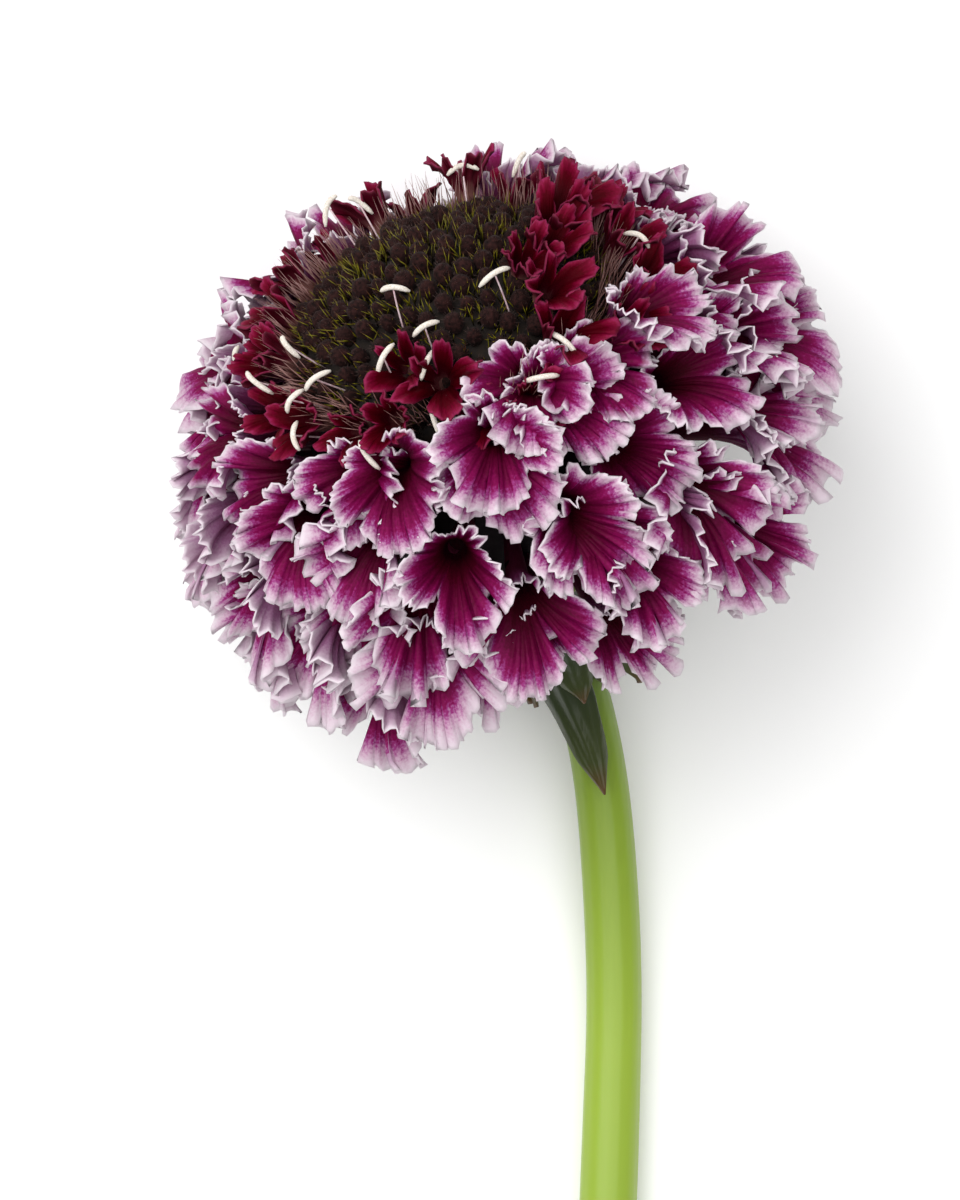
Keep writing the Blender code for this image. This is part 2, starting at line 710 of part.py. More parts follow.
def bract(index, path, rng):
    """One bract as a closed blade, turned back beside the stem."""
    azimuth = BRACT_FIRST_AZIMUTH + 2 * math.pi * index / BRACT_COUNT
    reach = BRACT_LENGTH * (1.0 if index == 0 else rng.uniform(*BRACT_OTHER_SIZES))
    radius = BRACT_RADIUS + (BRACT_ROW_GAP if index % 2 else 0.0)
    drift = BRACT_DRIFT if index == 0 else jitter(rng, BRACT_OTHER_DRIFT)
    rows = []
    for share, width, spread in zip(BRACT_SHARES, BRACT_WIDTHS, BRACT_SPREADS):
        turn = azimuth + drift * share
        spoke = math.cos(turn) * HEAD_AXES[0] + math.sin(turn) * HEAD_AXES[1]
        place = share * reach / BRACT_SPAN * (len(path) - 1)
        centre = np.array([np.interp(place, range(len(path)), path[:, i]) for i in range(3)])
        ahead = path[min(int(place) + 1, len(path) - 1)] - path[int(min(place, len(path) - 2))]
        across = unit(np.cross(ahead, spoke))
        outward = unit(np.cross(across, ahead))
        middle = centre + outward * (radius + spread * MM)
        half = BRACT_WIDTH / 2 * width
        fold = outward * half * BRACT_FOLD
        rows.append((middle, middle + across * half - fold, middle - across * half - fold, outward))
    return blade_solid(rows)


def blade_solid(rows):
    """A closed blade with a raised midline, from rows of middle, left, right, outward."""
    points, faces = [], []
    half = BRACT_THICKNESS / 2
    for middle, left, right, outward in rows:
        for place in (left, middle, right):
            points.append(place + outward * half)
        for place in (right, middle, left):
            points.append(place - outward * half)
    for row in range(len(rows) - 1):
        a, b = row * 6, (row + 1) * 6
        for i in range(6):
            j = (i + 1) % 6
            first, second = (a + i, b + i, b + j), (a + i, b + j, a + j)
            if i >= 3:
                first, second = (a + i, b + i, a + j), (a + j, b + i, b + j)
            faces += [first, second]
    faces += [(0, 1, 4, 5), (1, 2, 3, 4)]
    end = (len(rows) - 1) * 6
    faces += [(end + 5, end + 4, end + 1, end), (end + 4, end + 3, end + 2, end + 1)]
    return np.array(points), faces


def involucre(material):
    """The green cup under the head with its bracts."""
    core = make_object("involucre", *turned_solid(list(CUP_PROFILE), CUP_SIDES), material)
    start = to_world([0.0, 0.0, BRACT_TOP])
    below = stem_path(2 * BRACT_PATH_STEPS)
    path = np.concatenate([[start], below])
    lengths = np.append(0.0, np.cumsum(np.linalg.norm(np.diff(path, axis=0), axis=1)))
    wanted = np.linspace(0.0, BRACT_SPAN, BRACT_PATH_STEPS)
    path = np.stack([np.interp(wanted, lengths, path[:, i]) for i in range(3)], axis=1)
    rng = random.Random(3)
    bracts = []
    for index in range(BRACT_COUNT):
        bracts.append(make_object(f"bract_{index}", *bract(index, path, rng)))
    fuse(core, bracts)
    return core


def centre_on_origin(objects):
    """Moves everything so that the bounding box's bottom centre is the origin."""
    points = np.array([v.co for obj in objects for v in obj.data.vertices])
    low, high = points.min(axis=0), points.max(axis=0)
    middle = (low + high) / 2
    for obj in objects:
        for vertex in obj.data.vertices:
            vertex.co.x -= middle[0]
            vertex.co.y -= middle[1]
            vertex.co.z -= low[2]


def main():
    """Builds every sub-part."""
    for obj in list(bpy.data.objects):
        bpy.data.objects.remove(obj)
    petal = principled("ruffled petal", (0.52, 0.09, 0.33), 0.5)
    maroon = principled("maroon corolla", (0.06, 0.004, 0.009), 0.45)
    bud = principled("hairy bud", (0.045, 0.02, 0.022), 0.75)
    leaf = principled("bract leaf", (0.02, 0.035, 0.006), 0.4)
    green = principled("stem skin", (0.32, 0.42, 0.05), 0.45)
    pieces = [ray_florets(petal), inner_florets(maroon), disc_buds(bud)]
    pieces += [involucre(leaf), stem(green)]
    centre_on_origin(pieces)


main()
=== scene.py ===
"""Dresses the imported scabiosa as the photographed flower.

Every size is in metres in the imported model's own frame: z = 0 is the surface that the
flower lies on, the stem runs towards -Y and the camera looks straight down.
"""
from __future__ import annotations

import logging
import math
import random
from dataclasses import dataclass, field
from enum import Enum

import bpy
import numpy as np
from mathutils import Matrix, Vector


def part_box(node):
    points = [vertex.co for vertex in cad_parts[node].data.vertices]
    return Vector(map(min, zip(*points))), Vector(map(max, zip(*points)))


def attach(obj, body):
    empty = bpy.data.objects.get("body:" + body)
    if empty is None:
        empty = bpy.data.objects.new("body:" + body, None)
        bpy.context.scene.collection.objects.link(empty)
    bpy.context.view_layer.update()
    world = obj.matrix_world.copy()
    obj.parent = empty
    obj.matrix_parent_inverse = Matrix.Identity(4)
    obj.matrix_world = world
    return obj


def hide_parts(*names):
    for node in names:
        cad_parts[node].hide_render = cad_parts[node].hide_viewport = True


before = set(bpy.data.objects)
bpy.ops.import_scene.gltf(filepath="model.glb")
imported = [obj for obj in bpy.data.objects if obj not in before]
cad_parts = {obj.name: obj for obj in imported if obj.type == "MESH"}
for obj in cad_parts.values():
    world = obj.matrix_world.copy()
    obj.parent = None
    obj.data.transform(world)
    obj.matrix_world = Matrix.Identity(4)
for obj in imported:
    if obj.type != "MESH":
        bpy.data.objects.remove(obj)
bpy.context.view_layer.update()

MM = 0.001
GOLDEN_ANGLE = math.pi * (3 - math.sqrt(5))
# The photograph's middle on the surface, in the row frame.
PHOTO_CENTRE = (-2.655 * MM, 17.891 * MM)
# A direction that no path here runs along.
SKEW = (0.31, 0.17, 0.93)
LOG = logging.getLogger("scabiosa")

Array = np.ndarray
Tree = bpy.types.NodeTree
Socket = bpy.types.NodeSocket
Pair = tuple[float, float]
Triple = tuple[float, float, float]
Stops = tuple[tuple[float, str], ...]
Grown = dict[str, Array | list[Array]]


class Slot(Enum):
    """The record's material slots."""

    RAY = "ray_petal"
    INNER = "inner_petal"
    DISC = "disc_bud"
    BRACT = "bract_leaf"
    STEM = "stem_skin"


class Node(Enum):
    """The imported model's nodes."""

    RAYS = "ray_florets"
    INNER = "inner_florets"
    DISC = "disc_buds"
    INVOLUCRE = "involucre"
    STEM = "stem"


def linear(colour: str) -> tuple[float, float, float, float]:
    """Turns an sRGB hex colour into linear values.

    Args:
        colour: the colour as "#rrggbb".

    Returns:
        Linear red, green, blue and an alpha of one.
    """
    parts = [int(colour[i:i + 2], 16) / 255 for i in (1, 3, 5)]
    curve = [c / 12.92 if c <= 0.04045 else ((c + 0.055) / 1.055) ** 2.4 for c in parts]
    return (curve[0], curve[1], curve[2], 1.0)


def unit(vector: Array) -> Array:
    """The vector, or each vector of an array, at length one."""
    return vector / np.linalg.norm(vector, axis=-1, keepdims=True)


def add_node(tree: Tree, kind: str, settings: dict[str, object] | None = None,
             links: dict[str | int, Socket] | None = None) -> bpy.types.Node:
    """Adds a shader node with its settings and links.

    Args:
        tree: the material's node tree.
        kind: the node's type name.
        settings: attributes of the node, or values of its inputs by name or "#index".
        links: the socket that feeds each input, by name or index.

    Returns:
        The new node.
    """
    node = tree.nodes.new(kind)
    for name, value in (settings or {}).items():
        if name.startswith("#"):
            node.inputs[int(name[1:])].default_value = value
        elif hasattr(node, name):
            setattr(node, name, value)
        else:
            node.inputs[name].default_value = value
    for name, socket in (links or {}).items():
        tree.links.new(socket, node.inputs[name])
    return node


def add_ramp(tree: Tree, factor: Socket, stops: Stops) -> Socket:
    """Adds a colour ramp.

    Args:
        tree: the material's node tree.
        factor: what drives the ramp.
        stops: place and sRGB hex colour of each stop, in order.

    Returns:
        The ramp's colour socket.
    """
    node = add_node(tree, "ShaderNodeValToRGB", links={"Fac": factor})
    elements = node.color_ramp.elements
    while len(elements) < len(stops):
        elements.new(0.5)
    for element, (place, colour) in zip(elements, stops):
        element.position = place
        element.color = linear(colour)
    return node.outputs["Color"]


def new_material(name: str) -> tuple[bpy.types.Material, Tree, bpy.types.Node]:
    """Starts a node material.

    Args:
        name: the material's name.

    Returns:
        The material, its tree and its Principled shader.
    """
    material = bpy.data.materials.new(name)
    material.use_nodes = True
    tree = material.node_tree
    return material, tree, tree.nodes["Principled BSDF"]


def feed(tree: Tree, shader: bpy.types.Node, colour: Socket, height: Socket, bump: Pair,
         values: dict[str, object]) -> None:
    """Feeds a shader its colour, its bump and its plain values.

    Args:
        tree: the material's node tree.
        shader: the Principled shader.
        colour: what gives its colour.
        height: what gives its bump.
        bump: the bump's strength and its depth in metres.
        values: the shader's other values by name.
    """
    strength, depth = bump
    normal = add_node(tree, "ShaderNodeBump", {"Strength": strength, "Distance": depth}, {"Height": height})
    tree.links.new(colour, shader.inputs["Base Color"])
    tree.links.new(normal.outputs[0], shader.inputs["Normal"])
    for name, value in values.items():
        shader.inputs[name].default_value = value


@dataclass(frozen=True)
class PetalSkin:
    """Living petal: thin, soft cells full of sap colour that let light through.

    The eye gets a velvet face, darkened towards the throat by painted shade, streaks that run out along the
    veins, and a pale edge with a painted highlight along its rim.
    """

    name: str = "ruffled corolla skin"
    # The colour of the painted highlight along the rim.
    rim: str = "#f2e8ee"
    # Below the magenta the face darkens to near black towards the throat: painted shade.
    face: Stops = (
        (0.0, "#1e0006"), (0.3, "#420016"), (0.54, "#640334"), (0.7, "#860e52"),
        (0.77, "#a03f85"), (0.83, "#c087ae"), (0.9, "#d5b3c8"), (1.0, "#e2cfdb"))
    back: Stops = (
        (0.0, "#571830"), (0.45, "#7e3160"), (0.75, "#a8729a"), (1.0, "#cdb0c4"))
    vein_scale: float = 4.6
    vein_depth: float = 0.25 * MM
    speck_scale: float = 3600.0
    streaks: float = 0.34
    speckle: float = 0.24
    roughness: float = 0.5
    specular: float = 0.08
    see_through: float = 0.2

    def build(self) -> bpy.types.Material:
        """Makes the material; it reads the mesh attributes petal, reach, edge and under."""
        material, tree, shader = new_material(self.name)
        petal, reach, under, edge = (add_node(tree, "ShaderNodeAttribute", {"attribute_name": name})
                                     for name in ("petal", "reach", "under", "edge"))
        # Veins fan out from the throat, so the noise is stretched along the reach.
        streak = add_node(tree, "ShaderNodeTexNoise",
                          {"Scale": self.vein_scale, "Detail": 5.0, "Roughness": 0.62},
                          {"Vector": petal.outputs["Vector"]})
        grain = add_node(tree, "ShaderNodeTexNoise", {"Scale": self.speck_scale, "Detail": 2.0},
                         {"Vector": add_node(tree, "ShaderNodeNewGeometry").outputs["Position"]})
        wobble, speck = (add_node(tree, "ShaderNodeMath",
                                  {"operation": "MULTIPLY_ADD", "#1": amount, "#2": -amount / 2},
                                  {0: noise.outputs["Fac"]})
                         for noise, amount in ((streak, self.streaks), (grain, self.speckle)))
        shift = add_node(tree, "ShaderNodeMath", {"operation": "ADD"},
                         {0: wobble.outputs[0], 1: speck.outputs[0]})
        place = add_node(tree, "ShaderNodeMath", {"operation": "ADD", "use_clamp": True},
                         {0: reach.outputs["Fac"], 1: shift.outputs[0]})
        sides = add_node(tree, "ShaderNodeMix", {"data_type": "RGBA"},
                         {0: under.outputs["Fac"], 6: add_ramp(tree, place.outputs[0], self.face),
                          7: add_ramp(tree, place.outputs[0], self.back)})
        # Painted highlight: the rim is a bright line, as where the blade is seen edge on and catches the
        # light.
        colour = add_node(tree, "ShaderNodeMix", {"data_type": "RGBA", "#7": linear(self.rim)},
                          {0: edge.outputs["Fac"], 6: sides.outputs[2]})
        feed(tree, shader, colour.outputs[2], streak.outputs["Fac"], (0.5, self.vein_depth),
             {"Roughness": self.roughness, "Specular IOR Level": self.specular})
        glow = add_node(tree, "ShaderNodeBsdfTranslucent", links={"Color": colour.outputs[2]})
        both = add_node(tree, "ShaderNodeMixShader", {"#0": self.see_through},
                        {1: shader.outputs[0], 2: glow.outputs[0]})
        tree.links.new(both.outputs[0], tree.nodes["Material Output"].inputs["Surface"])
        return material


@dataclass(frozen=True)
class PlainSkin:
    """Plant skin of one colour range with a fine grain, for the small solid pieces."""

    name: str
    dark: str
    light: str
    grain: float
    roughness: float
    bump: float = 0.15
    sheen: float = 0.0
    specular: float = 0.4

    def build(self) -> bpy.types.Material:
        """Makes the material; the grain is the size of its patches in metres."""
        material, tree, shader = new_material(self.name)
        place = add_node(tree, "ShaderNodeNewGeometry").outputs["Position"]
        patches = add_node(tree, "ShaderNodeTexNoise", {"Scale": 1 / self.grain, "Detail": 4.0},
                           {"Vector": place})
        colour = add_ramp(tree, patches.outputs["Fac"], ((0.3, self.dark), (0.72, self.light)))
        feed(tree, shader, colour, patches.outputs["Fac"], (self.bump, self.grain / 2),
             {"Roughness": self.roughness, "Sheen Weight": self.sheen, "Specular IOR Level": self.specular})
        return material


@dataclass(frozen=True)
class GradedSkin:
    """Plant skin whose colour runs along a piece, read from the attribute reach."""

    name: str
    stops: Stops
    grain: float
    stretch: Triple = (1.0, 1.0, 1.0)
    roughness: float = 0.4
    bump: float = 0.2
    mottle: float = 0.12
    specular: float = 0.5
    glow: float = 0.0
    glow_tint: Triple = (0.6, 1.0, 0.2)
    glow_depth: float = 1.2 * MM

    def build(self) -> bpy.types.Material:
        """Makes the material; the grain is the width of its streaks in metres."""
        material, tree, shader = new_material(self.name)
        place = add_node(tree, "ShaderNodeNewGeometry").outputs["Position"]
        spread = add_node(tree, "ShaderNodeMapping", {"Scale": self.stretch}, {"Vector": place})
        streaks = add_node(tree, "ShaderNodeTexNoise", {"Scale": 1 / self.grain, "Detail": 4.0},
                           {"Vector": spread.outputs[0]})
        reach = add_node(tree, "ShaderNodeAttribute", {"attribute_name": "reach"})
        shift = add_node(tree, "ShaderNodeMath", {"operation": "MULTIPLY_ADD", "#1": self.mottle,
                                                  "#2": -self.mottle / 2},
                         {0: streaks.outputs["Fac"]})
        level = add_node(tree, "ShaderNodeMath", {"operation": "ADD", "use_clamp": True},
                         {0: reach.outputs["Fac"], 1: shift.outputs[0]})
        colour = add_ramp(tree, level.outputs[0], self.stops)
        feed(tree, shader, colour, streaks.outputs["Fac"], (self.bump, self.grain / 2),
             {"Roughness": self.roughness, "Specular IOR Level": self.specular,
              "Subsurface Weight": self.glow, "Subsurface Radius": self.glow_tint,
              "Subsurface Scale": self.glow_depth})
        return material


@dataclass
class Sheet:
    """Mesh data that grows piece by piece: points, faces and values for each point."""

    points: list[Array] = field(default_factory=list)
    faces: list[Array] = field(default_factory=list)
    values: dict[str, list[Array]] = field(default_factory=dict)
    count: int = 0

    def add(self, points: Array, faces: list[Array], **values: Array | float) -> None:
        """Adds one closed solid.

        Args:
            points: its points in the row frame.
            faces: arrays of triangles or quads, as indices into those points.
            values: attributes by name, one value or vector for each point, or one for all.
        """
        size = len(points)
        self.points.append(points)
        self.faces.extend(rows + self.count for rows in faces)
        for name, value in values.items():
            filled = np.array(value, dtype=float)
            if filled.ndim == 0:
                filled = np.full(size, float(value))
            self.values.setdefault(name, []).append(filled)
        self.count += size

    def build(self, name: str, material: bpy.types.Material, slot: Slot,
              nodes: tuple[Node, ...] = ()) -> None:
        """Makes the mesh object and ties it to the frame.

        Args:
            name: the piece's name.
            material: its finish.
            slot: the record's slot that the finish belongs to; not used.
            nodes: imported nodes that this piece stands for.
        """
        mesh = bpy.data.meshes.new(name)
        faces = [row for rows in self.faces for row in rows.tolist()]
        mesh.from_pydata(np.concatenate(self.points).tolist(), [], faces)
        for key, parts in self.values.items():
            data = np.concatenate(parts)
            kind = "FLOAT" if data.ndim == 1 else "FLOAT_VECTOR"
            store = mesh.attributes.new(key, kind, "POINT")
            store.data.foreach_set("value" if data.ndim == 1 else "vector", data.ravel())
        mesh.shade_smooth()
        mesh.materials.append(material)
        obj = bpy.data.objects.new(name, mesh)
        bpy.context.scene.collection.objects.link(obj)
        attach(obj, "root")
        if nodes:
            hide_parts(*[node.value for node in nodes])
        LOG.info("%s: %d faces", name, len(faces))


def stray(rng: random.Random, amount: float) -> float:
    """A random number up to this far from zero."""
    return rng.uniform(-amount, amount)


def any_phase(rng: random.Random) -> float:
    """A random phase for a wave."""
    return rng.uniform(0, 6)


def turns(sides: int) -> Array:
    """Angles evenly spaced round a ring."""
    return np.arange(sides) * 2 * math.pi / sides


def circle(sides: int) -> Array:
    """A flat ring of radius one, as a grid of one row."""
    return np.stack([np.cos(turns(sides)), np.sin(turns(sides))], axis=-1)[None]


def close(grid: Array, ends: Array) -> tuple[Array, list[Array]]:
    """Closes a grid of rings into a solid, with a cap at each end.

    Args:
        grid: rings of points, each anticlockwise seen from the last ring's end.
        ends: the middle points of the first ring's cap and the last ring's.

    Returns:
        Points and faces.
    """
    rings, sides = grid.shape[:2]
    side = np.arange(sides)
    ahead = (side + 1) % sides
    start = np.arange(rings - 1)[:, None] * sides
    a, b = start + side, start + ahead
    quads = np.stack([a, b, b + sides, a + sides], axis=-1).reshape(-1, 4)
    total = rings * sides
    last = total - sides
    first_cap = np.stack([np.full(sides, total), ahead, side], axis=-1)
    last_cap = np.stack([np.full(sides, total + 1), last + side, last + ahead], axis=-1)
    return np.concatenate([grid.reshape(-1, 3), ends]), [quads, first_cap, last_cap]


def per_point(levels: Array, sides: int, ends: Pair = (0.0, 1.0)) -> Array:
    """A value for each point of a closed grid, from one for each ring and each end."""
    return np.append(np.repeat(levels, sides), ends)


def lathe(radii: Array, heights: Array, sides: int, ribs: Array | float = 1.0) -> Array:
    """Rings turned round the head's axis.

    Args:
        radii: the radius of each ring.
        heights: its height.
        sides: points in each ring.
        ribs: share of the radius at each of those points.

    Returns:
        The grid of rings in the head's frame.
    """
    flat = circle(sides) * (radii[:, None] * ribs)[..., None]
    height = np.broadcast_to(heights[:, None, None], flat.shape[:2] + (1,))
    return np.concatenate([flat, height], axis=-1)


def rings_round(path: Array, sides: int) -> tuple[Array, Array]:
    """Directions round a path at each of its places.

    Args:
        path: places of its centre line.
        sides: points in each ring.

    Returns:
        The way ahead at each place and the directions round it.
    """
    ahead = unit(np.gradient(path, axis=0))
    across = unit(np.cross(ahead, SKEW))
    up = np.cross(ahead, across)
    flat = circle(sides)[..., None]
    return ahead, flat[:, :, 0] * across[:, None] + flat[:, :, 1] * up[:, None]


def walk(path: Array, count: int, reach: float = math.inf) -> Array:
    """Places evenly spaced along a path.

    Args:
        path: its places.
        count: how many are wanted.
        reach: the length that they cover, up to the whole path.

    Returns:
        The places.
    """
    lengths = np.append(0.0, np.cumsum(np.linalg.norm(np.diff(path, axis=0), axis=1)))
    wanted = np.linspace(0.0, min(reach, lengths[-1]), count)
    return np.stack([np.interp(wanted, lengths, path[:, i]) for i in range(3)], axis=1)


def tube(path: Array, radii: Array, sides: int) -> tuple[Array, list[Array]]:
    """A closed tube along a path.

    Args:
        path: places of its centre line.
        radii: its radius at each place.
        sides: points in each ring.

    Returns:
        Points and faces.
    """
    _, ring = rings_round(path, sides)
    return close(path[:, None] + ring * radii[:, None, None], path[[0, -1]])


@dataclass
class Head:
    """The head's own frame: side to the right, back away from the camera, axis out of
    the middle of the disc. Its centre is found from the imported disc."""

    lean: float = math.radians(20)
    rise: float = math.radians(38)
    disc_to_centre: Triple = (4.33 * MM, -10.23 * MM, -9.0 * MM)

    axes: Array = field(init=False)
    centre: Array = field(init=False)

    def __post_init__(self) -> None:
        """Works out the side, back and axis directions, as rows, and the centre."""
        lean_s, lean_c = math.sin(self.lean), math.cos(self.lean)
        rise_s, rise_c = math.sin(self.rise), math.cos(self.rise)
        side = (lean_c, lean_s, 0.0)
        back = (-lean_s * rise_s, lean_c * rise_s, -rise_c)
        axis = (-lean_s * rise_c, lean_c * rise_c, rise_s)
        self.axes = np.array([side, back, axis])
        low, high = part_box(Node.DISC.value)
        self.centre = (np.array(low) + np.array(high)) / 2 + np.array(self.disc_to_centre)

    def to_world(self, points: Array) -> Array:
        """Points of the head's frame in the row frame."""
        return self.centre + np.asarray(points) @ self.axes

    def from_world(self, points: Array) -> Array:
        """Points of the row frame in the head's frame."""
        return (np.asarray(points) - self.centre) @ self.axes.T

    def place(self, polar: float, azimuth: float, roll: float) -> Array:
        """Outward, lower and sideways directions of a floret.

        Args:
            polar: angle from the head's axis.
            azimuth: angle round it.
            roll: turn of the floret round its own tube.

        Returns:
            The three directions as rows, in the head's frame.
        """
        spoke = np.array([math.cos(azimuth), math.sin(azimuth), 0.0])
        axis = np.array([0.0, 0.0, 1.0])
        outward = math.sin(polar) * spoke + math.cos(polar) * axis
        lower = math.cos(polar) * spoke - math.sin(polar) * axis
        sideways = np.cross(axis, spoke)
        turned = math.cos(roll) * lower + math.sin(roll) * sideways
        return np.array([outward, turned, np.cross(outward, turned)])


@dataclass(frozen=True)
class Corolla:
    """The form of one floret: a tube that opens into a lobed, ruffled limb."""

    # Places of the notches round the limb and how far they stray, in degrees.
    notches: tuple[float, ...] = (-37.0, 37.0, 107.0, 180.0, 253.0)
    notch_stray: float = 7.0
    inner_lobes: float = 0.38
    notch_depth: float = 0.38
    depth_share: Pair = (0.75, 1.35)
    notch_width: float = 3.5
    flare_middle: float = math.radians(57)
    flare_swing: float = math.radians(27)
    flare_start: float = math.radians(14)
    flare_wander: float = math.radians(13)
    ruffles: int = 17
    ruffle_height: float = 0.12
    ruffle_lean: float = 0.3
    crinkles: int = 41
    crinkle_height: float = 0.04
    # Powers of the way out with which ruffles, crinkles and leans grow towards the margin.
    growth: tuple[float, int, int] = (2.3, 6, 3)
    teeth: int = 52
    tooth_depth: float = 0.06
    thickness: float = 0.16 * MM
    throat_radius: float = 1.05 * MM
    tube_length: float = 4.6 * MM
    around: int = 150
    outwards: int = 10
    # The outer lobes have the longest margin, so more of the points are given to them.
    crowding: float = 0.42
    # How fast the streak pattern changes round a floret and along it.
    streak_round: float = 3.2
    streak_along: float = 0.55
    # How strong the painted highlight on the rim is, and on the rings beside it.
    rim_highlight: float = 0.9
    beside_rim: float = 0.3

    def reach(self, angles: Array, size: float, rng: random.Random) -> Array:
        """How far the limb reaches at each angle.

        Args:
            angles: angles round the throat.
            size: reach of the outer lobe.
            rng: source of the uneven teeth.

        Returns:
            The reach at each angle.
        """
        turned = np.degrees(angles)
        depth = self.notch_depth * rng.uniform(*self.depth_share)
        starts = np.array([notch + stray(rng, self.notch_stray) for notch in self.notches])
        ends = np.append(starts[1:], starts[0] + 360)
        along = np.zeros_like(angles)
        for start, end in zip(starts, ends):
            local = (turned - start) % 360
            inside = local < end - start
            along = np.where(inside, 2 * local / (end - start) - 1, along)
        outer = 0.5 + 0.5 * np.cos(angles)
        envelope = self.inner_lobes + (1 - self.inner_lobes) * outer**0.8
        lobes = 1 - depth * np.abs(along) ** self.notch_width
        shift = any_phase(rng)
        tooth = np.abs(np.sin(angles * self.teeth / 2 + 1.3 * np.sin(3 * angles + shift)))
        return size * envelope * lobes * (1 + self.tooth_depth * (tooth - 0.6))

    def grow(self, place: Array, throat: Array, foot: Array, size: float,
             open_out: float, rng: random.Random) -> Grown:
        """Grows one floret in the head's frame.

        Args:
            place: its outward, lower and sideways directions.
            throat: the middle of its throat.
            foot: where its tube is rooted.
            size: reach of its outer lobe.
            open_out: how much further than usual it flares.
            rng: source of its unevenness.

        Returns:
            Points and faces with the attributes petal, reach, edge and under.
        """
        turn = turns(self.around)
        angles = turn - self.crowding * np.sin(turn)
        steps = np.linspace(0, 1, self.outwards)
        share = (1 - (1 - steps) ** 1.35)[:, None]
        reach = self.reach(angles, size, rng)[None, :]
        wander = sum(math.cos(any_phase(rng)) * np.cos(k * angles + any_phase(rng)) for k in (1, 2, 3))
        flare = self.flare_middle + self.flare_swing * np.cos(angles) + open_out
        flare = flare + self.flare_wander * wander
        bend = (flare - self.flare_start)[None, :]
        now = self.flare_start + bend * share
        along = (np.sin(now) - math.sin(self.flare_start)) / bend
        across = (math.cos(self.flare_start) - np.cos(now)) / bend
        ray = np.cos(angles)[:, None] * place[1] + np.sin(angles)[:, None] * place[2]
        radial = self.throat_radius + reach * across
        middle = throat + ray[None] * radial[..., None] + place[0] * (reach * along)[..., None]
        middle = middle + self.waves(middle, angles, share, reach, rng)
        out = self.normals(middle)
        half = out * self.thickness / 2
        under = middle - half
        upper = middle + half
        # The tube narrows to its foot, and the throat is a pit in it, painted dark as shade.
        drop = np.linspace(0.25, 1.0, 4)[:, None, None]
        outside = throat + (foot - throat) * drop + (under[0] - throat) * (1 - 0.35 * drop)
        inside = throat - place[0] * 0.45 * self.tube_length + (upper[0] - throat) * 0.75
        return self.stitch(upper, under, outside[::-1], inside, share[:, 0], angles, rng)

    def waves(self, middle: Array, angles: Array, share: Array, reach: Array,
              rng: random.Random) -> Array:
        """How far each point of the limb is pushed out of its smooth form by the ruffles.

        Args:
            middle: the smooth limb.
            angles: angles round the throat.
            share: share of the way out to the margin.
            reach: how far the limb reaches at each angle.
            rng: source of their phases.

        Returns:
            The offsets.
        """
        out = self.normals(middle)
        around = unit(np.roll(middle, -1, axis=1) - np.roll(middle, 1, axis=1))
        drift = 1.1 * np.sin(2 * angles + any_phase(rng)) + 0.7 * np.sin(5 * angles + any_phase(rng))
        phase = self.ruffles * angles + drift
        fine = self.crinkles * angles + any_phase(rng) + drift
        height = self.ruffle_height * (0.75 + 0.45 * np.sin(3 * angles + any_phase(rng)))
        ruffled, crinkled, leaned = (share**power for power in self.growth)
        lift = height * np.sin(phase) * ruffled + self.crinkle_height * np.sin(fine) * crinkled
        lean = self.ruffle_lean * height * np.cos(phase) * leaned
        return out * (lift * reach)[..., None] + around * (lean * reach)[..., None]

    @staticmethod
    def normals(grid: Array) -> Array:
        """Normals of a grid whose second axis closes, on the side that faces the throat."""
        around = np.roll(grid, -1, axis=1) - np.roll(grid, 1, axis=1)
        outwards = np.gradient(grid, axis=0)
        return unit(np.cross(outwards, around))

    def stitch(self, upper: Array, under: Array, outside: Array, inside: Array,
               share: Array, angles: Array, rng: random.Random) -> Grown:
        """Joins the faces of a floret into one closed solid.

        Args:
            upper: grid of the face that shows the throat.
            under: grid of the back.
            outside: rings of the tube from its foot up.
            inside: ring inside the throat.
            share: share of the way out of each ring of the limb.
            angles: angles round the throat.
            rng: source of the floret's own place in the streak pattern.

        Returns:
            Points and faces with the attributes petal, reach, edge and under.
        """
        sides = self.around
        grid = np.concatenate([outside, under, upper[::-1], inside[None]])
        rim = len(outside) + len(under)
        levels = np.concatenate([np.zeros(len(outside)), share, share[::-1], [0.0]])
        back = np.append(np.ones(rim), np.zeros(len(upper) + 1))
        edge = np.zeros(len(grid))
        edge[rim - 2:rim + 2] = self.beside_rim
        edge[rim - 1:rim + 1] = self.rim_highlight
        points, faces = close(grid, grid[[0, -1]].mean(axis=1))
        seed = rng.uniform(0, 50)
        pattern = np.stack(np.broadcast_arrays(
            np.cos(angles) * self.streak_round + seed, np.sin(angles) * self.streak_round,
            levels[:, None] * self.streak_along), axis=-1).reshape(-1, 3)
        return {"points": points, "faces": faces,
                "petal": np.concatenate([pattern, np.zeros((2, 3))]),
                "reach": per_point(levels, sides, (0.0, 0.0)),
                "edge": per_point(edge, sides, (0.0, 0.0)),
                "under": per_point(back, sides, (1.0, 0.0))}


